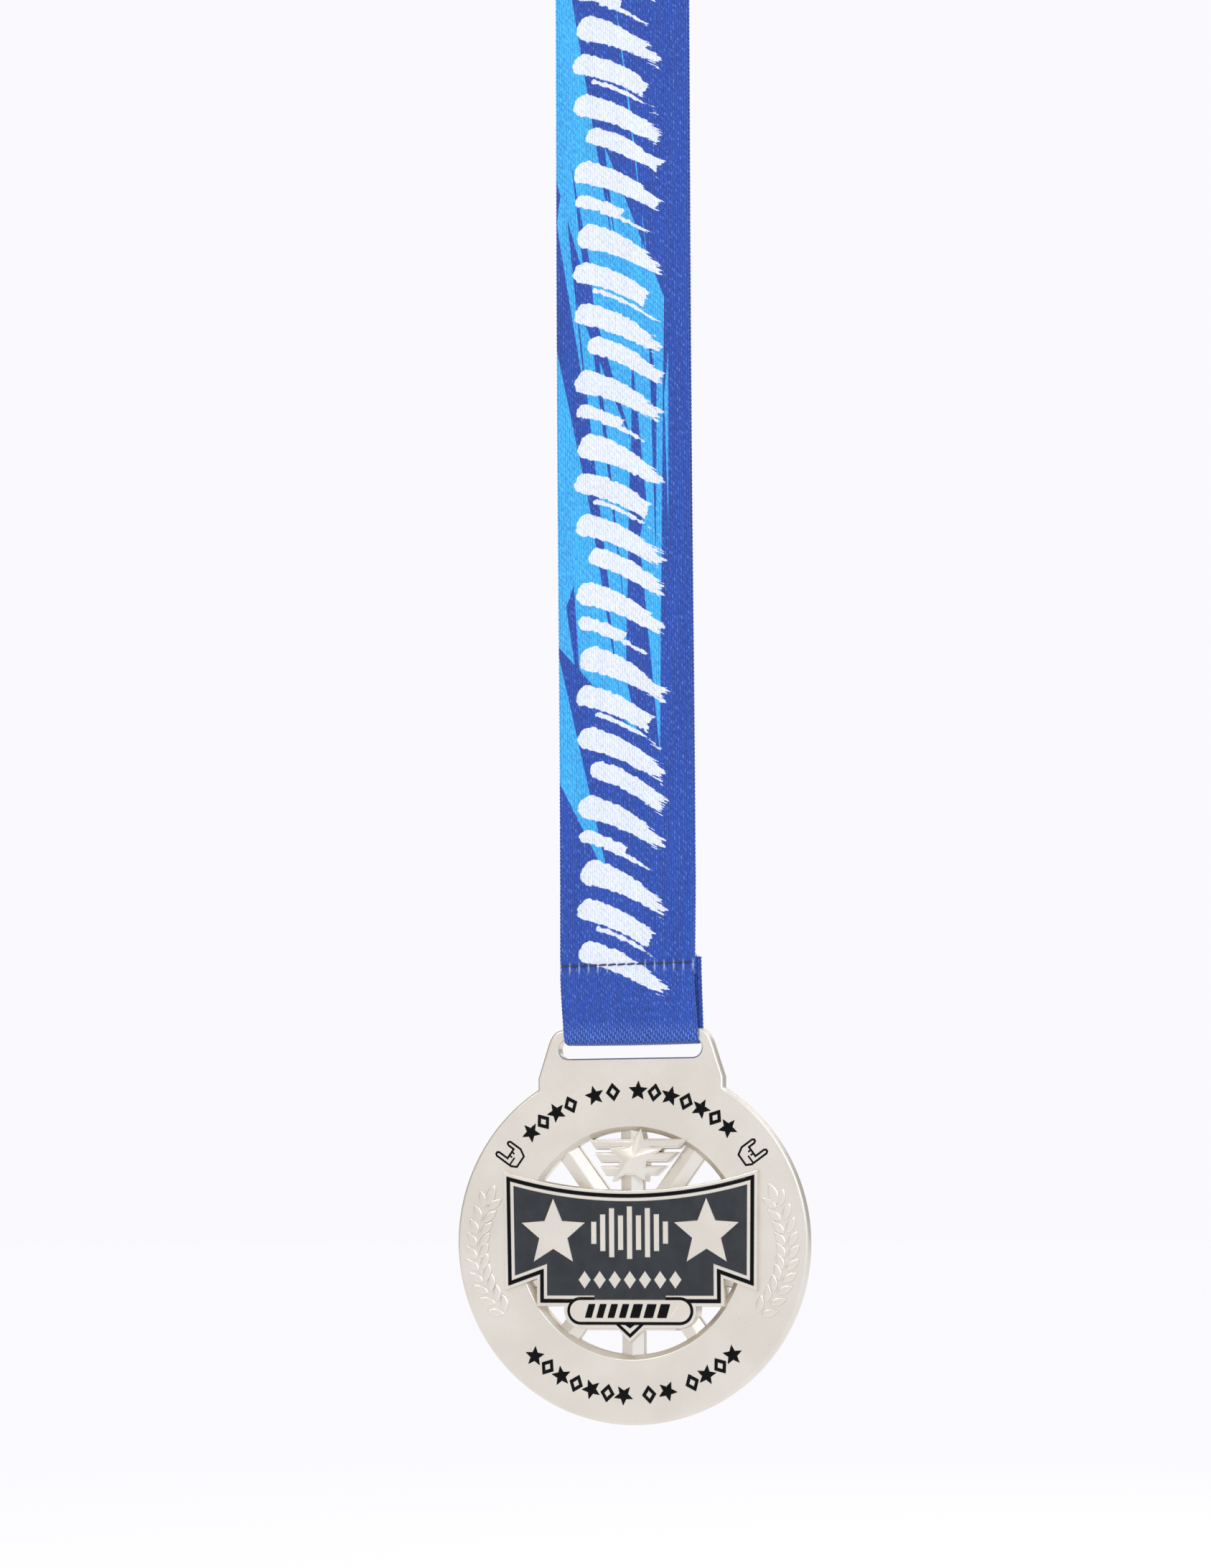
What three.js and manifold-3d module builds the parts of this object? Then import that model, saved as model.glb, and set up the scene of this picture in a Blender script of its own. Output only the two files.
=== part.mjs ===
// A cast medal on a doubled, printed neck ribbon, hung over a rod.
// Millimetres, +Z up. The medal's front faces -Y and the ribbon's width runs along X.
// The origin is the axis of the rod that the ribbon's neck bend hangs over.
import * as THREE from 'three';
import { mergeVertices } from 'three/addons/utils/BufferGeometryUtils.js';
import Module from 'manifold-3d';

const wasm = await Module();
wasm.setup();

// ---- Driving dimensions: the disc. Heights are above the disc's mid plane, towards the front.
const discRadius = 32.5;
const openingRadius = 20.9;
const throatRadius = 20;
const discFront = 1.5;
const discBack = -1.5;
const rimChamferDepth = 0.8;

// The lug and its ribbon slot, as heights above the disc's centre.
const lugTop = 38.3;
const lugShoulder = 35.2;
const lugFoot = 29.6;
const lugHalfTop = 12.6;
const lugHalfShoulder = 15.4;
const lugHalfFoot = 17.2;
const lugRoot = 25;
const lugShoulderPull = 0.9;
const slotTop = 36.5;
const slotBottom = 33.1;
const slotHalfWidth = 13.3;

// The spokes behind the plaque.
const spokeCount = 10;
const spokeWidth = 4.2;
const spokeEaves = 0;
const spokeRidge = 0.75;

// The plaque: a banner with a sagging top edge, a pill below it and an arrow below that.
const plaqueFront = 2.5;
const plaqueHalfWidth = 23.6;
const plaqueCornerHeight = 12.8;
const plaqueSag = 3.5;
const plaqueFoot = -8.5;
const plaqueFlare = 0.3;
const plaqueStepHeight = -6.4;
const plaqueStepHalf = 17.3;
const plaqueBottom = -11.3;
const rimWidth = 0.6;
const lineWidth = 0.65;
const pillCentre = -12.15;
const pillHalfHeight = 2;
const pillHalfLength = 11.2;
const pillLine = 0.45;
const fieldMouthHalf = 6.6;
const fieldMouthMiddle = -9.55;
const fieldMouthHalfHeight = 0.9;
const arrowTop = -14.3;
const arrowApex = -16.9;
const arrowHalf = 2.9;
const arrowFaceTop = -14.6;
const arrowFaceApex = -16.3;
const arrowFaceHalf = 1.8;
const arrowNotchApex = -15.2;
const arrowNotchHalf = 0.85;

// What stands on the plaque: two stars, a row of bars between them and a row of lozenges below.
const bannerStarRadius = 6.3;
const bannerStarWaist = 0.45;
const bannerStarOut = 14.2;
const bannerStarUp = 1.7;
const barHalfHeights = [2, 3.3, 4.4, 3.1, 4.7, 3.1, 4.4, 3.3, 2];
const barPitch = 1.66;
const barHalfWidth = 0.5;
const barMiddle = 1.8;
const lozengeCount = 7;
const lozengePitch = 2.8;
const lozengeHalfWidth = 1.15;
const lozengeHalfHeight = 1.6;
const lozengeMiddle = -6.6;

// The slanted marks in the pill: narrow ones, then wide ones.
const pillMarkPlaces = [-7.4, -5.3, -3.2, -1.1, 1.2, 3.7, 6.2];
const pillMarkNarrow = 0.6;
const pillMarkWide = 0.85;
const pillMarkFirstWide = 4;
const pillMarkHalfHeight = 1.2;
const pillMarkSlant = 0.3;

// Enamel: how deep its recesses are and how far below the metal it stands.
const recessDepth = 0.5;
const enamelDrop = 0.15;
const recessFloorGap = 0.01;

// The winged star above the plaque.
const emblemCentre = new THREE.Vector2(0.8, 15.2);
const emblemFront = 2.4;
const emblemRadius = 5.2;
const emblemSpan = 9.2;
const emblemSlant = 0.25;
const emblemWaist = 0.5;
const bladeHeights = [2.4, 0, -2.4];
const bladeShortening = 1.6;
const bladeBelow = 0.8;
const bladeAbove = 0.9;
const bladeRake = 1.5;
const bladeRoot = 1;
const bladeDrop = 0.5;

// The ring's ornaments and laurel branches.
const markRadius = 27.2;
const markHeight = 3.3;
const markAngles = [-43, -36.7, -30.4, -24.1, -14, -6.7, 3.2, 9.6, 16, 22.4, 28.8, 35.2, 41.6];
const markStarShare = 0.56;
const markStarWaist = 0.42;
const markLozengeShare = 0.4;
const markLozengeLine = 0.55;
const handAngle = 54.5;
const handRadius = 27.6;
const handLine = 0.36;
const leafHeight = 0.3;
const leafLength = 3.3;
const leafWidth = 1.5;
const leafSpread = 34;
const leafTipTurn = 20;
const leafRootGap = 0.28;
const leafPairs = 10;
const leafTipLengthening = 1.25;
const leafTipWidening = 1.2;
const laurelFoot = new THREE.Vector2(23.6, -12.6);
const laurelBelly = new THREE.Vector2(31.4, -4.6);
const laurelTip = new THREE.Vector2(27.1, 6.2);

// ---- Driving dimensions: the ribbon.
const ribbonWidth = 25;
const ribbonThickness = 0.9;
const barDrop = 390;
const barHeight = (lugTop + slotTop) / 2;
const bendRadius = 3.45;
const strandHalfGap = 0.75;
const gapFadeLength = 60;
const foldHeight = -130;
const twistHeight = -260;
const foldClearance = 1.5;
const twistClearance = 0.3;
const pieceGap = 0.3;
const bendLeg = 20;
const seamRise = 12.6;
const layerPitch = 0.95;
const loopRadius = 2.35;
const loopShoulder = 5;
const tailPastSeam = 1.2;
const strandPastSeam = 2;
const strandLead = 12;
const threadWidth = 0.35;
const seamHalfWidth = 12;

const discCentreHeight = -barDrop - barHeight;
const seamHeight = -barDrop + seamRise;

// ---- Materials
function finish(color, roughness, metalness) {
  return () => new THREE.MeshStandardMaterial({ color, roughness, metalness });
}
const nickel = finish(0xdcd6cf, 0.35, 1);
const blackEnamel = finish(0x0b0b0d, 0.15, 0);
const charcoalEnamel = finish(0x2f3337, 0.25, 0);
const blueRibbon = finish(0x2c4bb0, 0.6, 0);
const navyThread = finish(0x101a3c, 0.7, 0);

// ---- Solids
function solidOf(geometry) {
  const bare = geometry.index ? geometry.clone() : geometry;
  bare.deleteAttribute('normal');
  bare.deleteAttribute('uv');
  const merged = mergeVertices(bare);
  return new wasm.Manifold(new wasm.Mesh({
    numProp: 3,
    vertProperties: new Float32Array(merged.attributes.position.array),
    triVerts: new Uint32Array(merged.index.array),
  }));
}

function geometryOf(solid) {
  const mesh = solid.getMesh();
  const geometry = new THREE.BufferGeometry();
  geometry.setAttribute('position', new THREE.BufferAttribute(mesh.vertProperties, 3));
  geometry.setIndex(new THREE.BufferAttribute(mesh.triVerts, 1));
  return geometry;
}

function plate(outline, bottom, top, holes = []) {
  const shape = new THREE.Shape(outline);
  for (const hole of holes) shape.holes.push(new THREE.Path(hole));
  const geometry = new THREE.ExtrudeGeometry(shape, { depth: top - bottom, bevelEnabled: false });
  return solidOf(geometry.translate(0, 0, bottom));
}

function joined(solids) {
  return solids.reduce((whole, solid) => whole.add(solid));
}

// ---- Outlines, anticlockwise, as lists of points
const at = (x, y) => new THREE.Vector2(x, y);

function corners(pairs) {
  return pairs.map(([x, y]) => at(x, y));
}

function arc(centre, radius, from, to, steps) {
  return Array.from({ length: steps + 1 }, (_, i) => {
    const angle = THREE.MathUtils.degToRad(from + (to - from) * i / steps);
    return at(centre.x + radius * Math.cos(angle), centre.y + radius * Math.sin(angle));
  });
}

// Moves every side of an outline inwards by the same distance.
function inset(outline, distance) {
  const count = outline.length;
  return outline.map((point, i) => {
    const before = point.clone().sub(outline[(i + count - 1) % count]).normalize();
    const after = outline[(i + 1) % count].clone().sub(point).normalize();
    const reach = distance / (1 + before.dot(after));
    return at(point.x - reach * (before.y + after.y), point.y + reach * (before.x + after.x));
  });
}

function placed(outline, centre, turn = 0) {
  const angle = THREE.MathUtils.degToRad(turn);
  return outline.map((point) => point.clone().rotateAround(at(0, 0), angle).add(centre));
}

function onRing(radius, degreesFromTop) {
  return at(0, radius).rotateAround(at(0, 0), THREE.MathUtils.degToRad(-degreesFromTop));
}

function star(radius, waist) {
  return Array.from({ length: 10 }, (_, i) => onRing(i % 2 ? radius * waist : radius, -36 * i));
}

function lozenge(halfWidth, halfHeight) {
  return corners([[halfWidth, 0], [0, halfHeight], [-halfWidth, 0], [0, -halfHeight]]);
}

function bar(x, y, halfWidth, halfHeight, slant = 0) {
  const lean = slant * halfHeight;
  return corners([
    [x - halfWidth - lean, y - halfHeight],
    [x + halfWidth - lean, y - halfHeight],
    [x + halfWidth + lean, y + halfHeight],
    [x - halfWidth + lean, y + halfHeight],
  ]);
}

function stadium(centreHeight, halfLength, halfHeight) {
  const reach = halfLength - halfHeight;
  return [
    ...arc(at(reach, centreHeight), halfHeight, -90, 90, 10),
    ...arc(at(-reach, centreHeight), halfHeight, 90, 270, 10),
  ];
}

// ---- The casting's outlines
function lugOutline() {
  const right = corners([[lugHalfFoot, lugRoot], [lugHalfFoot, lugFoot], [lugHalfShoulder, lugShoulder]]);
  const shoulder = new THREE.QuadraticBezierCurve(
    at(lugHalfShoulder, lugShoulder),
    at(lugHalfShoulder - lugShoulderPull, lugTop),
    at(lugHalfTop, lugTop),
  ).getPoints(5).slice(1);
  const half = [...right, ...shoulder];
  const mirrored = half.map((point) => at(-point.x, point.y)).reverse();
  return [...half, ...mirrored];
}

function slotOutline() {
  const radius = (slotTop - slotBottom) / 2;
  return stadium((slotTop + slotBottom) / 2, slotHalfWidth, radius);
}

// The banner's sagging top edge runs from its right corner to its left one.
function bannerOutline() {
  const radius = (plaqueHalfWidth ** 2 + plaqueSag ** 2) / (2 * plaqueSag);
  const centre = at(0, plaqueCornerHeight - plaqueSag + radius);
  const spread = THREE.MathUtils.radToDeg(Math.asin(plaqueHalfWidth / radius));
  const right = corners([
    [plaqueStepHalf, plaqueBottom],
    [plaqueStepHalf, plaqueStepHeight],
    [plaqueHalfWidth - plaqueFlare, plaqueFoot],
  ]);
  const left = right.map((point) => at(-point.x, point.y)).reverse();
  return [...right, ...arc(centre, radius, -90 + spread, -90 - spread, 14), ...left];
}

const banner = bannerOutline();
const blackOuter = inset(banner, rimWidth);
const blackInner = inset(banner, rimWidth + lineWidth);
const fieldOutline = inset(banner, rimWidth + 2 * lineWidth);
const pillFace = stadium(pillCentre, pillHalfLength, pillHalfHeight);
const pillBlack = stadium(pillCentre, pillHalfLength + pillLine, pillHalfHeight + pillLine);
const pillRim = stadium(pillCentre, pillHalfLength + pillLine + rimWidth, pillHalfHeight + pillLine + rimWidth);
const arrowBlack = corners([[-arrowHalf, arrowTop], [0, arrowApex], [arrowHalf, arrowTop]]);
const arrowRim = inset(arrowBlack, -rimWidth);
const arrowFace = corners([
  [-arrowFaceHalf, arrowFaceTop], [0, arrowFaceApex], [arrowFaceHalf, arrowFaceTop],
  [arrowNotchHalf, arrowFaceTop], [0, arrowNotchApex], [-arrowNotchHalf, arrowFaceTop],
]);

// The raised ornaments that stand in the banner's charcoal field.
function bannerOrnaments() {
  const stars = [-1, 1].map((side) => (
    placed(star(bannerStarRadius, bannerStarWaist), at(side * bannerStarOut, bannerStarUp))
  ));
  const bars = barHalfHeights.map((halfHeight, i) => (
    bar(barPitch * (i - (barHalfHeights.length - 1) / 2), barMiddle, barHalfWidth, halfHeight)
  ));
  const lozenges = Array.from({ length: lozengeCount }, (_, i) => {
    const place = at(lozengePitch * (i - (lozengeCount - 1) / 2), lozengeMiddle);
    return placed(lozenge(lozengeHalfWidth, lozengeHalfHeight), place);
  });
  return [...stars, ...bars, ...lozenges];
}

// A raised hand with the first and last fingers up, drawn in its own frame, fingers along +Y.
function handOutline() {
  return corners([
    [-1.3, -2.5], [1.2, -2.5], [2, -1.1], [2, 1.3], [1.7, 1.75], [1.2, 1.75], [0.9, 1.3], [0.9, 0.2],
    [-0.75, 0.2], [-0.75, 2], [-1.05, 2.45], [-1.6, 2.45], [-1.9, 2], [-1.9, -1.4],
  ]);
}

// The metal inside the hand's drawn line, with notches where lines mark two knuckles and the thumb.
function handFace() {
  const face = inset(handOutline(), handLine);
  const knuckles = corners([
    [0.6, face[7].y], [0.6, -0.6], [0.3, -0.6], [0.3, face[7].y],
    [-0.15, face[7].y], [-0.15, -0.6], [-0.45, -0.6], [-0.45, face[7].y],
  ]);
  const thumb = corners([[face[12].x, -0.85], [-0.1, -0.85], [-0.1, -1.15], [face[12].x, -1.15]]);
  return [...face.slice(0, 8), ...knuckles, ...face.slice(8, 13), ...thumb, ...face.slice(13)];
}

function leafOutline(length, width) {
  return corners([
    [0, 0], [width * 0.42, length * 0.3], [width * 0.5, length * 0.55], [0, length],
    [-width * 0.5, length * 0.55], [-width * 0.42, length * 0.3],
  ]);
}

// One laurel branch's leaves; side is -1 for the left branch and 1 for the right one.
function laurelLeaves(side) {
  const points = [laurelFoot, laurelBelly, laurelTip].map(({ x, y }) => at(side * x, y));
  const stem = new THREE.QuadraticBezierCurve(...points);
  const leaves = [];
  for (let i = 0; i < leafPairs; i += 1) {
    const along = i / (leafPairs - 1);
    const root = stem.getPoint(along);
    const tangent = stem.getTangent(along);
    const heading = THREE.MathUtils.radToDeg(Math.atan2(tangent.y, tangent.x)) - 90;
    for (const turn of [-1, 1]) {
      const foot = root.clone().add(at(-tangent.y, tangent.x).multiplyScalar(turn * leafRootGap));
      leaves.push(placed(leafOutline(leafLength, leafWidth), foot, heading + turn * leafSpread));
    }
  }
  const tip = stem.getPoint(1).add(stem.getTangent(1).multiplyScalar(2 * leafRootGap));
  const tipLeaf = leafOutline(leafTipLengthening * leafLength, leafTipWidening * leafWidth);
  leaves.push(placed(tipLeaf, tip, side * leafTipTurn));
  return leaves;
}

// A ring ornament in its own frame: stars and hollow lozenges take turns.
function markOutlines(index) {
  if (index % 2 === 0) return { outline: star(markHeight * markStarShare, markStarWaist), holes: [] };
  const outline = lozenge(markHeight * markLozengeShare, markHeight / 2);
  return { outline, holes: [inset(outline, markLozengeLine)] };
}

// ---- The casting's solids, in the disc's own frame: X right, Y up, Z towards the front
function ringSolid() {
  const profile = corners([
    [throatRadius, discBack],
    [discRadius, discBack],
    [discRadius, discFront],
    [openingRadius, discFront],
    [throatRadius, discFront - rimChamferDepth],
    [throatRadius, discBack],
  ]);
  const geometry = new THREE.LatheGeometry(profile, 96).rotateX(Math.PI / 2);
  return solidOf(geometry);
}

function spokeSolid(index) {
  const half = spokeWidth / 2;
  const section = new THREE.Shape(corners([
    [-half, discBack], [half, discBack], [half, spokeEaves], [0, spokeRidge], [-half, spokeEaves],
  ]));
  const geometry = new THREE.ExtrudeGeometry(section, { depth: throatRadius + 0.4, bevelEnabled: false });
  geometry.rotateX(Math.PI / 2).rotateZ(2 * Math.PI * index / spokeCount);
  return solidOf(geometry);
}

function bannerIslands() {
  return joined(bannerOrnaments().map((outline) => plate(outline, discFront, plaqueFront + 1)));
}

// Three blades on each side of a star, all leaning to the right.
function emblemSolid() {
  const leaning = (outline) => outline.map(({ x, y }) => at(x + emblemSlant * y, y).add(emblemCentre));
  const pieces = [plate(leaning(star(emblemRadius, emblemWaist)), discBack, emblemFront)];
  bladeHeights.forEach((height, i) => {
    const span = emblemSpan - i * bladeShortening;
    const right = corners([
      [-bladeRoot, height - bladeBelow], [span - bladeRake, height - bladeBelow],
      [span, height + bladeAbove], [-bladeRoot, height + bladeAbove],
    ]);
    const left = right.map(({ x, y }) => at(-x, y)).reverse();
    for (const blade of [right, left]) pieces.push(plate(leaning(blade), discBack, emblemFront - bladeDrop));
  });
  return joined(pieces);
}

function band(bottom, top, outer, ...inner) {
  return inner.reduce((rest, outline) => rest.subtract(plate(outline, bottom, top)), plate(outer, bottom, top));
}

// The plaque's recesses, from their floor to a height well above its face.
function plaqueRecesses() {
  const floor = plaqueFront - recessDepth;
  const sky = plaqueFront + 1;
  const mouth = bar(0, fieldMouthMiddle, fieldMouthHalf, fieldMouthHalfHeight);
  const pillSolid = plate(pillFace, floor, sky);
  const field = plate(fieldOutline, floor, sky)
    .subtract(plate(pillBlack, floor, sky))
    .add(plate(mouth, floor, sky))
    .subtract(pillSolid)
    .subtract(bannerIslands());
  const outline = band(floor, sky, blackOuter, blackInner)
    .add(plate(pillBlack, floor, sky))
    .add(plate(arrowBlack, floor, sky))
    .subtract(pillSolid)
    .subtract(plate(arrowFace, floor, sky))
    .subtract(plate(mouth, floor, sky))
    .subtract(field);
  return { field, outline };
}

// Seats a hand's outline on the ring; the right hand is the left one mirrored.
const handAt = (side, outline) => placed(
  side < 0 ? outline : outline.map(({ x, y }) => at(-x, y)).reverse(),
  onRing(handRadius, side * handAngle),
  -side * handAngle,
);

// Every enamelled recess: its node's name, its solid from floor to sky, its metal's front and its colour.
function recesses() {
  const list = [];
  const { field, outline } = plaqueRecesses();
  list.push({ name: 'banner_field_enamel', solid: field, front: plaqueFront, material: charcoalEnamel });
  list.push({ name: 'plaque_outline_enamel', solid: outline, front: plaqueFront, material: blackEnamel });
  pillMarkPlaces.forEach((x, i) => {
    const halfWidth = i < pillMarkFirstWide ? pillMarkNarrow : pillMarkWide;
    const mark = bar(x, pillCentre, halfWidth, pillMarkHalfHeight, pillMarkSlant);
    const solid = plate(mark, plaqueFront - recessDepth, plaqueFront + 1);
    list.push({ name: `pill_mark_enamel_${i + 1}`, solid, front: plaqueFront, material: blackEnamel });
  });
  const floor = discFront - recessDepth;
  const sky = discFront + 1;
  for (const [arcName, turn] of [['upper', 0], ['lower', 180]]) {
    markAngles.forEach((angle, i) => {
      const { outline: edge, holes } = markOutlines(i);
      const seat = (points) => placed(points, onRing(markRadius, angle + turn), -angle - turn);
      const solid = plate(seat(edge), floor, sky, holes.map(seat));
      list.push({ name: `${arcName}_mark_enamel_${i + 1}`, solid, front: discFront, material: blackEnamel });
    });
  }
  for (const [name, side] of [['left', -1], ['right', 1]]) {
    const solid = plate(handAt(side, handOutline()), floor, sky, [handAt(side, handFace())]);
    list.push({ name: `${name}_hand_enamel`, solid, front: discFront, material: blackEnamel });
  }
  return list;
}

function castingSolid(cuts) {
  const leaves = [-1, 1].flatMap(laurelLeaves).map((outline) => plate(outline, 0, discFront + leafHeight));
  const body = joined([
    ringSolid(),
    plate(lugOutline(), discBack, discFront),
    ...Array.from({ length: spokeCount }, (_, i) => spokeSolid(i)),
    plate(banner, discBack, plaqueFront),
    plate(pillRim, discBack, plaqueFront),
    plate(arrowRim, discBack, plaqueFront),
    emblemSolid(),
    ...leaves,
  ]);
  const openings = [plate(slotOutline(), discBack - 1, discFront + 1), ...cuts];
  return openings.reduce((rest, opening) => rest.subtract(opening), body);
}

// ---- The ribbon, drawn as centre lines across (y, z) and given its thickness and width
function strandHalf(height) {
  const bow = (bendRadius - strandHalfGap) * Math.exp(height / gapFadeLength);
  return strandHalfGap + bow;
}

// A strand between two heights, on the front (side -1) or the back (side 1).
function strandLine(side, from, to, steps) {
  return Array.from({ length: steps + 1 }, (_, i) => {
    const height = from + (to - from) * i / steps;
    return at(side * strandHalf(height), height);
  });
}

function bendLine() {
  const front = strandLine(-1, -bendLeg, 0, 3);
  const back = strandLine(1, 0, -bendLeg, 3);
  return [...front.slice(0, -1), ...arc(at(0, 0), bendRadius, 180, 0, 12), ...back.slice(1)];
}

function loopLine() {
  const bottom = -barDrop;
  const frontTop = at(-layerPitch, seamHeight - strandPastSeam - pieceGap);
  const tailTop = at(layerPitch, seamHeight + tailPastSeam);
  return [
    frontTop,
    at(-loopRadius, bottom + loopShoulder),
    ...arc(at(0, bottom), loopRadius, 180, 360, 12),
    at(loopRadius, bottom + loopShoulder),
    at(layerPitch, seamHeight - strandPastSeam),
    tailTop,
  ];
}

// Offsets a centre line to both sides by half a thickness.
function stripOutline(line, thickness) {
  const sides = line.map((point, i) => {
    const ahead = line[Math.min(i + 1, line.length - 1)];
    const behind = line[Math.max(i - 1, 0)];
    const along = ahead.clone().sub(behind).normalize();
    return at(-along.y, along.x).multiplyScalar(thickness / 2);
  });
  const left = line.map((point, i) => point.clone().add(sides[i]));
  const right = line.map((point, i) => point.clone().sub(sides[i])).reverse();
  return [...left, ...right];
}

// Extrudes an outline drawn across (y, z) along X, centred on X = 0.
function acrossRibbon(outline, width) {
  const geometry = new THREE.ExtrudeGeometry(new THREE.Shape(outline), { depth: width, bevelEnabled: false });
  const turn = new THREE.Matrix4().makeBasis(
    new THREE.Vector3(0, 1, 0),
    new THREE.Vector3(0, 0, 1),
    new THREE.Vector3(1, 0, 0),
  );
  return geometry.applyMatrix4(turn).translate(-width / 2, 0, 0);
}

const strip = (line) => acrossRibbon(stripOutline(line, ribbonThickness), ribbonWidth);

function thread(y) {
  const half = threadWidth / 2;
  return acrossRibbon(placed(bar(0, 0, half, half), at(y, seamHeight)), 2 * seamHalfWidth);
}

// ---- The assembly
const medal = new THREE.Group();

function add(name, geometry, material, parent = medal) {
  const mesh = new THREE.Mesh(geometry, material());
  mesh.name = name;
  parent.add(mesh);
}

const disc = new THREE.Group();
disc.position.z = discCentreHeight;
disc.rotation.x = Math.PI / 2;
medal.add(disc);

const pools = recesses();
add('medal_casting', geometryOf(castingSolid(pools.map(({ solid }) => solid))), nickel, disc);
for (const { name, solid, front, material } of pools) {
  const bed = plate(
    arc(at(0, 0), discRadius, 0, 330, 11),
    front - recessDepth + recessFloorGap,
    front - enamelDrop,
  );
  add(name, geometryOf(solid.intersect(bed)), material, disc);
}

const upperFoot = foldHeight + foldClearance;
const middleTop = foldHeight - foldClearance;
const middleFoot = twistHeight + twistClearance;
const lowerTop = twistHeight - twistClearance;
const upperTop = -bendLeg - pieceGap;
add('ribbon_neck_bend', strip(bendLine()), blueRibbon);
for (const [face, side] of [['front', -1], ['back', 1]]) {
  add(`ribbon_${face}_upper`, strip(strandLine(side, upperTop, upperFoot, 5)), blueRibbon);
  add(`ribbon_${face}_middle`, strip(strandLine(side, middleTop, middleFoot, 3)), blueRibbon);
}
const frontFoot = at(-layerPitch, seamHeight - strandPastSeam);
const backFoot = at(0, seamHeight - strandPastSeam);
const leadHeight = seamHeight + strandLead;
const seamTop = seamHeight + strandPastSeam;
const frontLine = [...strandLine(-1, lowerTop, leadHeight, 3), at(-layerPitch, seamTop), frontFoot];
const backLine = [...strandLine(1, lowerTop, leadHeight, 3), at(0, seamTop), backFoot];
add('ribbon_front_lower', strip(frontLine), blueRibbon);
add('ribbon_back_lower', strip(backLine), blueRibbon);
add('ribbon_slot_loop', strip(loopLine()), blueRibbon);
const threadOut = layerPitch + ribbonThickness / 2 + threadWidth;
add('seam_needle_thread', thread(-threadOut), navyThread);
add('seam_bobbin_thread', thread(threadOut), navyThread);

export default medal;
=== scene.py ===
"""Looks for a cast medal on its doubled, printed neck ribbon.

Lengths are in millimetres until a mesh is finished, when it is scaled to metres.
The medal is drawn in its own frame: X right, Y up from the disc's centre, Z to the front.
The ribbon is drawn as centre lines across (y, z) of the frame, with its width along X.
"""
import math
import random

import bpy
import numpy as np
from mathutils import Matrix, Vector
from mathutils.geometry import delaunay_2d_cdt


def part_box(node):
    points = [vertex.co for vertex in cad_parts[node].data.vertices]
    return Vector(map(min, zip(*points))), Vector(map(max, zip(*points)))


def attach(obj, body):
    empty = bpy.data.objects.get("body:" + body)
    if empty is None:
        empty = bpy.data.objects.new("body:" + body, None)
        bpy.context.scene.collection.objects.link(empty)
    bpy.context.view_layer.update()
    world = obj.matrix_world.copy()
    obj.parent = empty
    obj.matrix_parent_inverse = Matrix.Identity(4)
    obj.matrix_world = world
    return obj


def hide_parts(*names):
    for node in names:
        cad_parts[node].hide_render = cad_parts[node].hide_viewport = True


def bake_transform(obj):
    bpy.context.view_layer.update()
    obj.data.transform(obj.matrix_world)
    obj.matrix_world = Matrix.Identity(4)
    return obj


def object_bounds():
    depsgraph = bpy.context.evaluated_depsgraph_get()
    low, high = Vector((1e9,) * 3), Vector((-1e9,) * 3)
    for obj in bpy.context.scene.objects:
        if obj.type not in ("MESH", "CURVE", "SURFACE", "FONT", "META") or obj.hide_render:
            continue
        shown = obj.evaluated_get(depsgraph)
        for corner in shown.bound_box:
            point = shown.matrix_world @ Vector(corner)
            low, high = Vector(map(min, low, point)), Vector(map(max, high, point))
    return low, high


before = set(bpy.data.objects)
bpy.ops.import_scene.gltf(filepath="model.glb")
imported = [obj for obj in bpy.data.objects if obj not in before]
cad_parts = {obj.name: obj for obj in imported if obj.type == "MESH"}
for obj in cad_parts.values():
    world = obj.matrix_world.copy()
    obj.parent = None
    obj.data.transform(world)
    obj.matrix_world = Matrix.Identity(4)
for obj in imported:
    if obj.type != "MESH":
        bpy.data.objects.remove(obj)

cad_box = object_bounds()

# ---- Sizes: the disc, from the CAD's casting
MM = 0.001
casting_low, casting_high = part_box("medal_casting")
DISC_RADIUS = (casting_high.x - casting_low.x) / 2 / MM
DISC_CENTRE = casting_low.z / MM + DISC_RADIUS
DISC_BACK = -casting_high.y / MM
DISC_FRONT = -DISC_BACK
PLAQUE_FRONT = -casting_low.y / MM
THROAT_RADIUS = 20
RIM_CHAMFER = 0.9
EDGE_RADIUS = 0.45
SOFT_EDGE = 0.12
SHARP_ANGLE = 32
# How the throat and the slot widen at a face: (depth below the face, inset there), from back to front
THROAT_BACK_EDGE = [(-0.1, -0.3), (0.2, 0)]
THROAT_FRONT_EDGE = [
    (RIM_CHAMFER, 0), (0.12, 0.1 - RIM_CHAMFER), (0.04, -RIM_CHAMFER), (-0.1, -RIM_CHAMFER - 0.4),
]
SLOT_EDGE = [(-0.1, -0.4), (0.1, -0.14), (0.3, 0)]

# The lug and its slot, as heights above the disc's centre
LUG_TOP = casting_high.z / MM - DISC_CENTRE
LUG_SHOULDER = 35.2
LUG_FOOT = 29.6
LUG_ROOT = 25
LUG_HALF_TOP = 12.6
LUG_HALF_SHOULDER = 15.4
LUG_HALF_FOOT = 17.2
LUG_CURL = 0.9
SLOT_TOP = 36.5
SLOT_BOTTOM = 33.1
SLOT_HALF_WIDTH = 13.3

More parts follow.
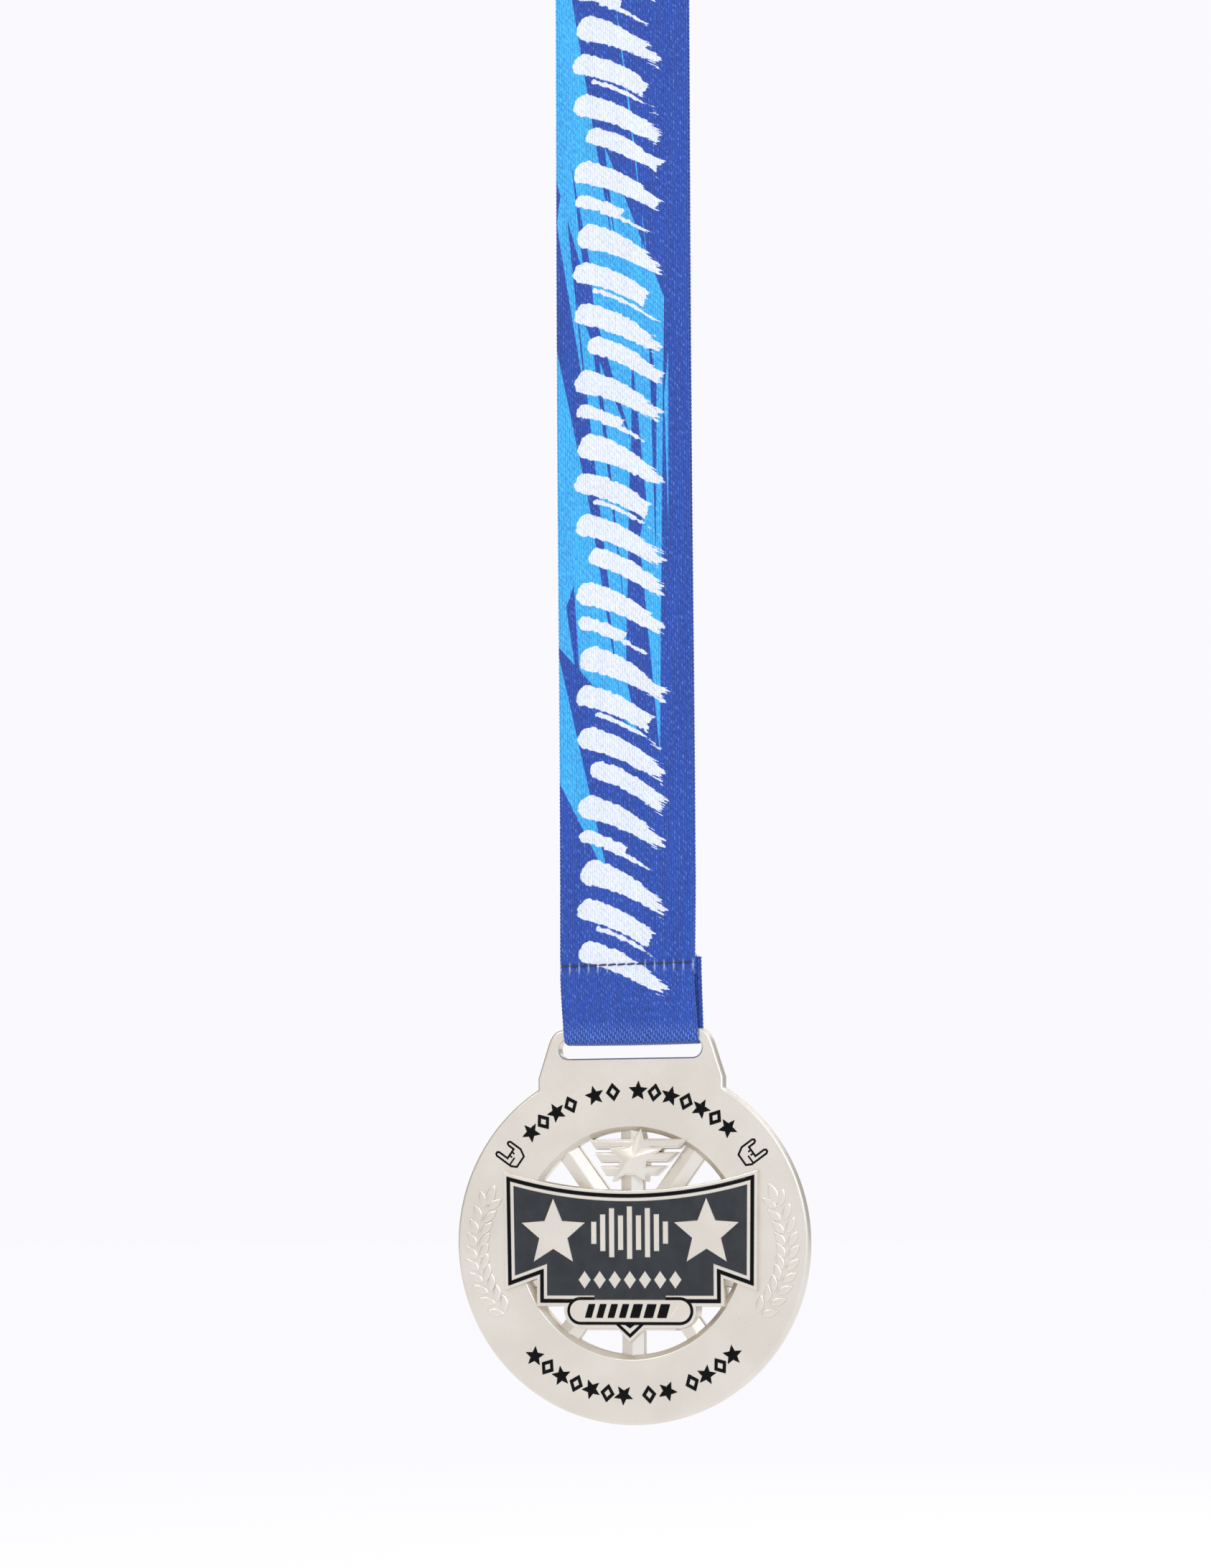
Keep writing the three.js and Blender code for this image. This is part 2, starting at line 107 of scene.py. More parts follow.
# Spokes, plaque, pill and arrow
SPOKES = 10
SPOKE_HALF = 2.1
SPOKE_RIDGE = 0.75
SPOKE_FOOT_EDGE = 0.2
SPOKE_SIDE_EDGE = 0.12
SPOKE_SHOULDER = 0.04
SPOKE_CREST = (0.1, SPOKE_RIDGE - 0.03)
SPOKE_OVERLAP = 0.6
PLAQUE_HALF = 23.6
PLAQUE_CORNER = 12.8
PLAQUE_SAG = 3.5
PLAQUE_FOOT = -8.5
PLAQUE_FLARE = 0.3
PLAQUE_STEP = -6.4
PLAQUE_STEP_HALF = 17.3
PLAQUE_BOTTOM = -11.3
RIM = 0.6
LINE = 0.65
BIG_STAR = (6.3, 0.45)
BIG_STAR_PLACE = (14.2, 1.7)
BARS_CENTRE = 1.8
BAR_PITCH = 1.66
BAR_HALF_WIDTH = 0.5
BAR_HALF_HEIGHTS = [2, 3.3, 4.4, 3.1, 4.7, 3.1, 4.4, 3.3, 2]
DIAMONDS = 7
DIAMOND_PITCH = 2.8
DIAMOND_HALVES = (1.15, 1.6)
DIAMONDS_CENTRE = -6.6
PILL_CENTRE = -12.15
PILL_HALF_HEIGHT = 2
PILL_HALF_LENGTH = 11.2
PILL_LINE = 0.45
PILL_MARKS = [(-7.4, 0.6), (-5.3, 0.6), (-3.2, 0.6), (-1.1, 0.6), (1.2, 0.85), (3.7, 0.85), (6.2, 0.85)]
PILL_MARK_HALF_HEIGHT = 1.2
PILL_MARK_SLANT = 0.3
MOUTH_HALF = 6.6
MOUTH_HALF_HEIGHT = 0.6
# The low tier that joins the pill to the banner: its centre and half sizes
BRIDGE = (0, -14.6, 8.3, 1)
ARROW_TOP = -14.3
ARROW_APEX = -16.9
ARROW_HALF = 2.9
EMBLEM_CENTRE = Vector((0.8, 15.2))
EMBLEM_FRONT = 2.4
EMBLEM_STAR = (5.2, 0.5)
CREST_STAR = (4.472, 0.47)
EMBLEM_SPAN = 9.2
EMBLEM_SLANT = 0.25
CREST_RISE = 0.1
BLADE_ROWS = 3
BLADE_PITCH = 2.4
BLADE_STEP = 1.6
BLADE_ROOT = -1
BLADE_LOW = -0.8
BLADE_HIGH = 0.9
BLADE_POINT = 1.5
BLADE_BORDER = 0.35
BLADE_DROP = 0.7
PANEL_DROP = 0.45
PANEL_DRAFT = 0.03
STAR_DROP = 0.5

# Enamel recesses and pools
RECESS_DEPTH = 0.5
FLOOR_GAP = 0.01
ENAMEL_DROP = 0.15
CHAMFER = 0.09
HAND_CHAMFER = 0.03
DOME_RISE = 0.14
DOME_REACH = 0.22
HAND_DOME_REACH = 0.13
LINE_DOME_RISE = 0.12
LINE_DOME_REACH = 0.2
# The field's enamel creeps up its walls: (height above its level, inset there)
MENISCUS = [(0.05, 0), (0.015, 0.07), (0, 0.17)]
CLEAR = 0.1
HEADROOM = 0.02
MITRE_LIMIT = 1.8

# A hairline scratch on the pill's face, in the frame
SCRATCH_START = Vector((7.6, -PLAQUE_FRONT, DISC_CENTRE + PILL_CENTRE - 1))
SCRATCH_END = Vector((8.9, -PLAQUE_FRONT, DISC_CENTRE + PILL_CENTRE + 0.9))
SCRATCH_WIDTH = 0.07

# Ring ornaments and laurels
MARK_RADIUS = 27.2
MARK_HEIGHT = 3.3
MARK_STAR = (0.56 * MARK_HEIGHT, 0.42)
MARK_LOZENGE = (0.4 * MARK_HEIGHT, MARK_HEIGHT / 2)
LOZENGE_LINE = 0.55
MARK_ANGLES = [-43, -36.7, -30.4, -24.1, -14, -6.7, 3.2, 9.6, 16, 22.4, 28.8, 35.2, 41.6]
HAND_ANGLE = 54.5
HAND_RADIUS = 27.6
HAND_LINE = 0.36
HAND_NOTCH = 0.3
KNUCKLES = (0.6, -0.15)
KNUCKLE_FOOT = -0.6
THUMB_TOP = -0.85
THUMB_REACH = -0.1
LEAF_HEIGHT = 0.3
LEAF_LENGTH = 3.3
LEAF_WIDTH = 1.5
LEAF_SPREAD = 34
LEAF_PAIRS = 10
LEAF_OFFSET = 0.28
# A leaf's outline widens low and stays full: the powers of its sine
LEAF_BELLY = 0.85
LEAF_FULLNESS = 0.8
# A leaf's softened edge: (depth below its top, inset there)
LEAF_EDGE = [(0.09, 0.04), (0.03, 0.12), (0, 0.24)]
TIP_LENGTH = 1.25
TIP_WIDTH = 1.2
TIP_LEAD = 0.56
TIP_LEAN = 20
BRANCH = [(23.6, -12.6), (31.4, -4.6), (27.1, 6.2)]

# The ribbon
RIBBON_WIDTH = 25
THICKNESS = 0.9
BAR_DROP = 390
BEND_RADIUS = 3.45
STRAND_HALF_GAP = 0.75
GAP_FADE = 60
SEAM_HEIGHT = -377.4
SEAM_SLOPE = 0.012
STITCHES = 14
SEAM_HALF_WIDTH = 12.35
STITCH_PITCH = 2 * SEAM_HALF_WIDTH / STITCHES
STITCH_RADIUS = 0.17
PIECE_JOIN = -195
FOLD_SHIFT = 0.35
SEAM_SHIFT = -0.55
SKEW_LENGTH = 14
SCALLOP = 0.05
SCALLOP_PITCH = 0.7
SELVAGE = 0.5
CROWN = 0.1
SEAM_PINCH = 0.3
PINCH_WIDTH = 0.75
SEAM_HALF_STACK = 1.4
STRAND_FOOT = SEAM_HEIGHT + 14
NECK_FOOT = -1
NECK_GAP = 4
# Where the centre line passes, as (y, z): the tail behind, round the slot's bar from its height, the front
TAIL_END = (0.95, SEAM_HEIGHT + 1.2)
TAIL_AT_SEAM = (0.96, SEAM_HEIGHT - 0.6)
LOOP_SIDE = [(1.3, 8), (1.8, 3.6), (2, 0.4), (1.5, -1.05)]
LOOP_FOOT = (0, -1.45)
FRONT_AT_SEAM = (-0.96, SEAM_HEIGHT - 0.6)
FRONT_ABOVE_SEAM = (-0.95, SEAM_HEIGHT + 2)
BACK_TUCK = [(0.02, SEAM_HEIGHT + 2), (0, SEAM_HEIGHT - 2)]
TAIL_SEAM = 2
SWAY = 0.35
SWAY_WAVE = 31
SWAY_START = SEAM_HEIGHT + 15
SWAY_FADE_IN = 40
SWAY_FADE_OUT = 60
CLOTH_SHARP_ANGLE = 50
TUBE_SHARP_ANGLE = 60
REPEAT = 220
PRINT_FOOT = 14
FOLD_PLACE = 13.5
# How much of the weave's painted shade stays on the white paint
WHITE_SHADE_DEPTH = 0.55
FLOAT_WIDTH = 0.42
FLOAT_LENGTH = 1.1
FLOAT_STAGGER = 0.382

# Stitches and the cut edge's loose yarn
STITCH_STEPS = 8
STITCH_SHARE = 0.47
STITCH_LIFT = 0.16
STITCH_DIP = 0.42
STITCH_LEAN = 0.05
STITCH_TAPER = 0.35
FIBRES = 110
FIBRE_SEED = 7
FIBRE_SPAN = 12.3
FIBRE_ROOT = 0.25
FIBRE_LAYER = 0.36
FIBRE_LEAN = (0.5, 0.35)
FIBRE_LENGTHS = (0.35, 0.95)
FIBRE_SHAPE = [(0, 0.07), (0.4, 0.065), (0.75, 0.05), (1, 0.02)]

# Colours, as sRGB from 0 to 255
NICKEL = (229, 223, 213)
STAINED_NICKEL = (222, 215, 204)
PITTED = (130, 122, 112)
SCRATCHED = (250, 250, 250)
BLACK = (2, 2, 3)
MOTTLED_BLACK = (6, 7, 9)
CHARCOAL = (39, 42, 46)
MOTTLED_CHARCOAL = (46, 49, 53)
DUST = (120, 122, 126)
ROYAL = (37, 75, 168)
PALE_BLUE = (60, 172, 240)
WHITE = (226, 231, 243)
DYED_BACK = (46, 80, 168)
# A painted highlight on the weave's floats
FLOAT_GLINT = (150, 178, 232)
RIB_GLINT = (132, 164, 226)
PUCKERED = (196, 210, 238)
NAVY = (14, 22, 58)
WORN_NAVY = (34, 48, 98)
YARN = (196, 206, 230)
TINTED_YARN = (120, 148, 214)


# ---- Outlines, anticlockwise
def corners(*pairs):
    return [Vector(pair) for pair in pairs]


def arc(centre, radius, start, stop, steps):
    angles = [math.radians(start + (stop - start) * i / steps) for i in range(steps + 1)]
    return [Vector((centre[0] + radius * math.cos(a), centre[1] + radius * math.sin(a))) for a in angles]


def circle(radius, steps=160):
    return arc((0, 0), radius, 0, 360, steps)[:-1]


def inset(outline, distance):
    """Moves every side inwards by one distance; a sharp corner goes no further than MITRE_LIMIT times it."""
    moved = []
    for i, point in enumerate(outline):
        before = (point - outline[i - 1]).normalized()
        after = (outline[(i + 1) % len(outline)] - point).normalized()
        reach = distance / max(1 + before.dot(after), 2 / MITRE_LIMIT**2)
        moved.append(point + reach * Vector((-before.y - after.y, before.x + after.x)))
    return moved


def placed(outline, centre, degrees=0):
    turn = Matrix.Rotation(math.radians(degrees), 2)
    return [turn @ point + Vector(centre) for point in outline]


def mirrored(outline):
    return [Vector((-p.x, p.y)) for p in reversed(outline)]


def on_ring(radius, degrees_from_top):
    a = math.radians(degrees_from_top)
    return Vector((radius * math.sin(a), radius * math.cos(a)))


def star(radius, waist):
    return [on_ring(radius * (waist if i % 2 else 1), -360 * i / 10) for i in range(10)]


def lozenge(half_width, half_height):
    return corners((half_width, 0), (0, half_height), (-half_width, 0), (0, -half_height))


def bar(x, y, half_width, half_height, slant=0):
    lean = slant * half_height
    return corners(
        (x - half_width - lean, y - half_height),
        (x + half_width - lean, y - half_height),
        (x + half_width + lean, y + half_height),
        (x - half_width + lean, y + half_height),
    )


def stadium(centre_height, half_length, half_height, steps=14):
    reach = half_length - half_height
    right = arc((reach, centre_height), half_height, -90, 90, steps)
    left = arc((-reach, centre_height), half_height, 90, 270, steps)
    return right + left


def bezier(a, b, c, steps):
    """Points on a quadratic curve, without its first one."""
    a, b, c = Vector(a), Vector(b), Vector(c)
    shares = [i / steps for i in range(1, steps + 1)]
    return [a * (1 - t) ** 2 + b * 2 * t * (1 - t) + c * t * t for t in shares]


# ---- Solids. A level is (height, inset): a contour's place on the way up.
def soft(bottom, top, radius, steps=4):
    """Levels of a plate whose edges are rounded at both faces."""
    turns = [math.pi / 2 * i / steps for i in range(steps + 1)]
    rise = [(radius * (1 - math.cos(t)), radius * (1 - math.sin(t))) for t in turns]
    return [(bottom + up, side) for up, side in rise] + [(top - up, side) for up, side in reversed(rise)]


def raised(bottom, foot, top, draft=0.1):
    """Levels of a relief with drafted walls from foot up and a softened top edge."""
    return [
        (bottom, -draft), (foot, -draft), (top - SOFT_EDGE, 0),
        (top - 0.3 * SOFT_EDGE, 0.3 * SOFT_EDGE), (top, SOFT_EDGE),
    ]


def flared(floor, face, chamfer=CHAMFER):
    """Levels of a cutter that chamfers the edge that it leaves in a face."""
    return [(floor, 0), (face - chamfer, 0), (face + HEADROOM, -chamfer - HEADROOM)]


def domed(floor, top, rise=DOME_RISE, reach=DOME_REACH):
    """Levels of an enamel pool whose surface bulges."""
    return [
        (floor, 0), (top, 0), (top + 0.55 * rise, 0.25 * reach),
        (top + 0.85 * rise, 0.6 * reach), (top + rise, reach),
    ]


def mesh_object(name, points, faces):
    mesh = bpy.data.meshes.new(name)
    mesh.from_pydata(points, [], faces)
    made = bpy.data.objects.new(name, mesh)
    bpy.context.scene.collection.objects.link(made)
    return made


def slab(outer, holes, levels):
    """A closed solid through all levels of one outer contour and the holes in it."""
    contours = [outer, *holes]
    points, rings = [], []
    for height, distance in levels:
        ring = [inset(c, -distance if k else distance) for k, c in enumerate(contours)]
        rings.append(ring)
        points += [(p.x, p.y, height) for contour in ring for p in contour]
    level_size = sum(map(len, contours))
    faces = []
    for start in range(0, level_size * (len(levels) - 1), level_size):
        for k, contour in enumerate(contours):
            count = len(contour)
            for i in range(count):
                a, b = start + i, start + (i + 1) % count
                wall = (a, b, b + level_size, a + level_size)
                faces.append(wall[::-1] if k else wall)
            start += count
    for ring, start, up in ((rings[0], 0, False), (rings[-1], level_size * (len(levels) - 1), True)):
        for corner in filled(ring):
            face = tuple(start + i for i in corner)
            faces.append(face if up else face[::-1])
    return mesh_object("slab", points, faces)


def crosses(point, a, b):
    """Whether the edge from a to b passes to the right of the point at its height."""
    if (a.y > point.y) == (b.y > point.y):
        return False
    return point.x < (b.x - a.x) * (point.y - a.y) / (b.y - a.y) + a.x


def filled(contours):
    """Anticlockwise triangles that fill the first contour around the others, as indices of their points."""
    flat = [p for contour in contours for p in contour]
    edges, start = [], 0
    for contour in contours:
        edges += [(start + i, start + (i + 1) % len(contour)) for i in range(len(contour))]
        start += len(contour)
    points, _, triangles, origins, _, _ = delaunay_2d_cdt(flat, edges, [], 0, 1e-6)
    kept = []
    for triangle in triangles:
        middle = sum((points[i] for i in triangle), Vector((0, 0))) / 3
        if sum(crosses(middle, flat[a], flat[b]) for a, b in edges) % 2:
            a, b, c = (points[i] for i in triangle)
            corner = tuple(origins[i][0] for i in triangle)
            kept.append(corner if (b - a).cross(c - a) > 0 else corner[::-1])
    return kept


def settled(obj):
    graph = bpy.context.evaluated_depsgraph_get()
    mesh = bpy.data.meshes.new_from_object(obj.evaluated_get(graph))
    obj.modifiers.clear()
    obj.data = mesh
    return obj


def combined(operation, first, others):
    """first after a boolean with each of the others, which are used up."""
    for other in others:
        step = first.modifiers.new(operation, "BOOLEAN")
        step.operation, step.solver, step.object = operation, "MANIFOLD", other
    settled(first)
    for other in others:
        bpy.data.objects.remove(other)
    return first


def into_frame(obj, name, material):
    """Scales a medal part to metres, places it in the frame and gives it its material."""
    obj.name = name
    obj.data.transform(Matrix((
        (MM, 0, 0, 0), (0, 0, -MM, 0), (0, MM, 0, DISC_CENTRE * MM), (0, 0, 0, 1),
    )))
    return finished(obj, material)


def finished(obj, material, angle=SHARP_ANGLE):
    obj.data.materials.clear()
    obj.data.materials.append(material)
    obj.data.shade_smooth()
    obj.data.set_sharp_from_angle(angle=math.radians(angle))
    step = obj.modifiers.new("flats", "WEIGHTED_NORMAL")
    step.keep_sharp = True
    return settled(obj)


# ---- Material nodes
class Nodes:
    """Short ways to build a node tree; each method gives an output socket, and node gives the node."""

    def __init__(self, tree):
        self.tree = tree

    def feed(self, socket, value):
        if isinstance(value, bpy.types.NodeSocket):
            self.tree.links.new(value, socket)
        elif value is not None:
            socket.default_value = value

    def node(self, kind, inputs=(), **settings):
        made = self.tree.nodes.new(kind)
        for key, value in settings.items():
            setattr(made, key, value)
        for key, value in dict(inputs).items():
            self.feed(made.inputs[key], value)
        return made

    def math(self, operation, a, b=None, c=None, clamp=False):
        made = self.node("ShaderNodeMath", {0: a, 1: b, 2: c}, operation=operation, use_clamp=clamp)
        return made.outputs[0]

    def times(self, a, b):
        return self.math("MULTIPLY", a, b)

    def vector(self, operation, a, b=None, scale=None):
        made = self.node("ShaderNodeVectorMath", {0: a, 1: b, 3: scale}, operation=operation)
        return made.outputs["Value" if operation in ("DOT_PRODUCT", "DISTANCE", "LENGTH") else "Vector"]

    def noise(self, place, scale, detail=2.0, stretch=(1, 1, 1)):
        place = self.vector("MULTIPLY", place, stretch)
        return self.node("ShaderNodeTexNoise", {"Vector": place, "Scale": scale, "Detail": detail}).outputs[0]

    def ramp(self, value, low, high, to_low=0.0, to_high=1.0):
        limits = {0: value, 1: low, 2: high, 3: to_low, 4: to_high}
        return self.node("ShaderNodeMapRange", limits, interpolation_type="SMOOTHSTEP").outputs[0]

    def mix(self, factor, a, b):
        return self.node("ShaderNodeMix", {0: factor, 6: a, 7: b}, data_type="RGBA").outputs[2]


class Look(Nodes):
    """A material on the Principled shader."""

    def __init__(self, name, **shader_values):
        self.material = bpy.data.materials.new(name)
        self.material.use_nodes = True
        super().__init__(self.material.node_tree)
        self.shader = self.tree.nodes["Principled BSDF"]
        for key, value in shader_values.items():
            self.feed(self.shader.inputs[key.replace("_", " ")], value)

    def place(self):
        """Where a point is on the resting object, in millimetres."""
        return self.vector("SCALE", self.node("ShaderNodeTexCoord").outputs["Object"], scale=1 / MM)

    def base(self, tone):
        self.feed(self.shader.inputs["Base Color"], tone)

    def bump(self, height, depth):
        """Relief of that depth in millimetres."""
        made = self.node("ShaderNodeBump", {"Strength": 1.0, "Distance": depth * MM, "Height": height})
        self.feed(self.shader.inputs["Normal"], made.outputs[0])


def colour(srgb):
    """A colour given as sRGB 0 to 255, as the shader wants it."""
    def linear(value):
        value /= 255
        return value / 12.92 if value <= 0.04045 else ((value + 0.055) / 1.055) ** 2.4
    return (*map(linear, srgb), 1.0)


def nickel():
    """Satin nickel plate: a fine grain, faint stains, a few pits and one hairline scratch on the pill."""
    look = Look("satin_nickel", Metallic=1.0)
    place = look.place()
    stains = look.ramp(look.noise(place, 0.09, 3.0), 0.3, 0.75)
    plate = look.mix(stains, colour(STAINED_NICKEL), colour(NICKEL))
    specks = look.ramp(look.noise(place, 2.2, 0.0), 0.85, 0.89)
    span = SCRATCH_END - SCRATCH_START
    local = look.vector("SUBTRACT", place, SCRATCH_START)
    share = look.math("ADD", look.vector("DOT_PRODUCT", local, span / span.length_squared), 0, clamp=True)
    along = look.vector("SCALE", tuple(span), scale=share)
    scratch = look.ramp(look.vector("DISTANCE", local, along), SCRATCH_WIDTH, 0.3 * SCRATCH_WIDTH)
    spotted = look.mix(look.times(specks, 0.35), plate, colour(PITTED))
    look.base(look.mix(scratch, spotted, colour(SCRATCHED)))
    grain = look.noise(place, 5.0, 3.0)
    look.feed(look.shader.inputs["Roughness"], look.ramp(grain, 0.2, 0.8, 0.3, 0.42))
    ripple = look.noise(place, 0.5, 1.0)
    height = look.math("MULTIPLY_ADD", ripple, 2.0, look.times(grain, 0.3))
    height = look.math("MULTIPLY_ADD", specks, -0.9, height)
    look.bump(look.math("MULTIPLY_ADD", scratch, -1.5, height), 0.012)
    return look.material


def enamel(name, base, lighter, roughness, gloss):
    """Hard enamel: glossy, slightly wavy, with fine dust in it."""
    look = Look(name, Specular_IOR_Level=gloss)
    place = look.place()
    dust = look.ramp(look.noise(place, 4.0, 2.0), 0.66, 0.82)
    mottle = look.ramp(look.noise(place, 0.35, 2.0), 0.3, 0.7)
    tone = look.mix(mottle, colour(base), colour(lighter))
    dusty = look.mix(look.times(dust, 0.06), tone, colour(DUST))
    look.base(dusty)
    look.feed(look.shader.inputs["Roughness"], look.ramp(mottle, 0, 1, roughness, roughness + 0.08))
    look.bump(look.noise(place, 0.9, 2.0), 0.03)
    return look.material


# ---- The medal
def lug_outline():
    right = corners((LUG_HALF_FOOT, LUG_ROOT), (LUG_HALF_FOOT, LUG_FOOT), (LUG_HALF_SHOULDER, LUG_SHOULDER))
    curl = (LUG_HALF_SHOULDER - LUG_CURL, LUG_TOP)
    right += bezier((LUG_HALF_SHOULDER, LUG_SHOULDER), curl, (LUG_HALF_TOP, LUG_TOP), 10)
    return right + mirrored(right)


def banner_outline(distance=0):
    """The banner, or its outline moved inwards: straight sides under a top edge that sags in an arc."""
    radius = (PLAQUE_HALF**2 + PLAQUE_SAG**2) / (2 * PLAQUE_SAG)
    centre = Vector((0, PLAQUE_CORNER - PLAQUE_SAG + radius))
    foot = (PLAQUE_HALF - PLAQUE_FLARE, PLAQUE_FOOT)
    step_low, step_high = (PLAQUE_STEP_HALF, PLAQUE_BOTTOM), (PLAQUE_STEP_HALF, PLAQUE_STEP)
    right = corners(step_low, step_high, foot, (PLAQUE_HALF, PLAQUE_CORNER))
    right = inset(right + mirrored(right), distance)[:4]
    foot, tip = right[2:]
    along = (tip - foot).normalized()
    reach = along.dot(centre - foot)
    height = math.sqrt((radius + distance) ** 2 - (foot + reach * along - centre).length_squared)
    tip = foot + (reach - height) * along
    spread = math.degrees(math.asin(tip.x / (radius + distance)))
    top = arc(centre, radius + distance, -90 + spread, -90 - spread, 28)
    return right[:3] + top + mirrored(right[:3])


BANNER = banner_outline()
BLACK_OUTER = banner_outline(RIM)
BLACK_INNER = banner_outline(RIM + LINE)
PILL_FACE = stadium(PILL_CENTRE, PILL_HALF_LENGTH, PILL_HALF_HEIGHT)
PILL_BLACK = stadium(PILL_CENTRE, PILL_HALF_LENGTH + PILL_LINE, PILL_HALF_HEIGHT + PILL_LINE)
PILL_RIM = stadium(PILL_CENTRE, PILL_HALF_LENGTH + PILL_LINE + RIM, PILL_HALF_HEIGHT + PILL_LINE + RIM)
ARROW_BLACK = corners((-ARROW_HALF, ARROW_TOP), (0, ARROW_APEX), (ARROW_HALF, ARROW_TOP))
ARROW_FACE = corners((-1.8, -14.6), (0, -16.3), (1.8, -14.6), (0.85, -14.6), (0, -15.2), (-0.85, -14.6))
PLAQUE_FLOOR = PLAQUE_FRONT - RECESS_DEPTH
PILL_TOP = PILL_CENTRE + PILL_HALF_HEIGHT


def field_outline():
    """The charcoal field, which opens downwards onto the pill between the mouth's sides."""
    field = banner_outline(RIM + 2 * LINE)
    half, bottom = MOUTH_HALF, field[0].y
    return field + corners((-half, bottom), (-half, PILL_TOP), (half, PILL_TOP), (half, bottom))


def banner_ornaments():
    x, y = BIG_STAR_PLACE
    stars = [placed(star(*BIG_STAR), (side * x, y)) for side in (-1, 1)]
    middle = len(BAR_HALF_HEIGHTS) // 2
    bars = [
        bar(BAR_PITCH * (i - middle), BARS_CENTRE, BAR_HALF_WIDTH, half)
        for i, half in enumerate(BAR_HALF_HEIGHTS)
    ]
    diamonds = [
        placed(lozenge(*DIAMOND_HALVES), (DIAMOND_PITCH * (i - DIAMONDS // 2), DIAMONDS_CENTRE))
        for i in range(DIAMONDS)
    ]
    return stars + bars + diamonds


def spoke(index):
    half, foot, side = SPOKE_HALF, SPOKE_FOOT_EDGE, SPOKE_SIDE_EDGE
    right = corners(
        (half - foot, DISC_BACK), (half, DISC_BACK + foot), (half, -side), (half - side, SPOKE_SHOULDER),
        SPOKE_CREST,
    )
    made = slab(right + mirrored(right), [], [(0, 0), (THROAT_RADIUS + SPOKE_OVERLAP, 0)])
    turn = Matrix.Rotation(2 * math.pi * index / SPOKES, 4, "Z")
    made.data.transform(turn @ Matrix.Rotation(math.pi / 2, 4, "X"))
    return made


def faceted(outline, bottom, shoulder, centre, apex):
    """A closed solid whose top rises in flat facets from its outline to one point."""
    count = len(outline)
    points = [(p.x, p.y, bottom) for p in outline] + [(p.x, p.y, shoulder) for p in outline]
    points += [(centre.x, centre.y, bottom), (centre.x, centre.y, apex)]
    faces = []
    for i in range(count):
        j = (i + 1) % count
        faces += [(i, j, count + j, count + i), (count + i, count + j, 2 * count + 1), (j, i, 2 * count)]
    return mesh_object("facets", points, faces)


def emblem():
    """A star with three blades on each side, all leaning to the right."""
    def leaning(outline):
        return [Vector((p.x + EMBLEM_SLANT * p.y, p.y)) + EMBLEM_CENTRE for p in outline]

    blade_levels = raised(DISC_BACK, 0, EMBLEM_FRONT - BLADE_DROP)
    panel_levels = raised(DISC_BACK, 0, EMBLEM_FRONT - PANEL_DROP, PANEL_DRAFT)
    parts = []
    for row in range(BLADE_ROWS):
        height, span = BLADE_PITCH * (1 - row), EMBLEM_SPAN - BLADE_STEP * row
        low, high = height + BLADE_LOW, height + BLADE_HIGH
        blade = corners((BLADE_ROOT, low), (span - BLADE_POINT, low), (span, high), (BLADE_ROOT, high))
        for outline in (blade, mirrored(blade)):
            parts.append(slab(leaning(outline), [], blade_levels))
            parts.append(slab(inset(leaning(outline), BLADE_BORDER), [], panel_levels))
    base = leaning(star(*EMBLEM_STAR))
    parts.append(slab(base, [], raised(DISC_BACK, 0, EMBLEM_FRONT - STAR_DROP)))
    crest = leaning(star(*CREST_STAR))
    shoulder, apex = EMBLEM_FRONT - PANEL_DROP, EMBLEM_FRONT + CREST_RISE
    parts.append(faceted(crest, DISC_BACK, shoulder, EMBLEM_CENTRE, apex))
    return parts


def leaf(length, width):
    """A pointed oval that starts at the origin and grows along Y."""
    steps = 9
    shares = [i / steps for i in range(1, steps)]
    half_widths = [width / 2 * math.sin(math.pi * t**LEAF_BELLY) ** LEAF_FULLNESS for t in shares]
    side = [(half, length * t) for half, t in zip(half_widths, shares)]
    right = corners((0, 0), *side, (0, length))
    return right + [Vector((-x, y)) for x, y in reversed(side)]


def laurels():
    top = DISC_FRONT + LEAF_HEIGHT
    levels = [(0, 0), (DISC_FRONT, 0)] + [(top - depth, distance) for depth, distance in LEAF_EDGE]
    parts = []
    for side in (-1, 1):
        a, b, c = (Vector((side * x, y)) for x, y in BRANCH)
        for i in range(LEAF_PAIRS):
            t = i / (LEAF_PAIRS - 1)
            root = a * (1 - t) ** 2 + b * 2 * t * (1 - t) + c * t * t
            along = ((b - a) * (1 - t) + (c - b) * t).normalized()
            heading = math.degrees(math.atan2(along.y, along.x)) - 90
            for turn in (-1, 1):
                foot = root + LEAF_OFFSET * turn * Vector((-along.y, along.x))
                outline = placed(leaf(LEAF_LENGTH, LEAF_WIDTH), foot, heading + turn * LEAF_SPREAD)
                parts.append(slab(outline, [], levels))
        foot = c + TIP_LEAD * (c - b).normalized()
        tip = placed(leaf(TIP_LENGTH * LEAF_LENGTH, TIP_WIDTH * LEAF_WIDTH), foot, side * TIP_LEAN)
        parts.append(slab(tip, [], levels))
    return parts


HAND = corners(
    (-1.3, -2.5), (1.2, -2.5), (2, -1.1), (2, 1.3), (1.7, 1.75), (1.2, 1.75), (0.9, 1.3), (0.9, 0.2),
    (-0.75, 0.2), (-0.75, 2), (-1.05, 2.45), (-1.6, 2.45), (-1.9, 2), (-1.9, -1.4),
)


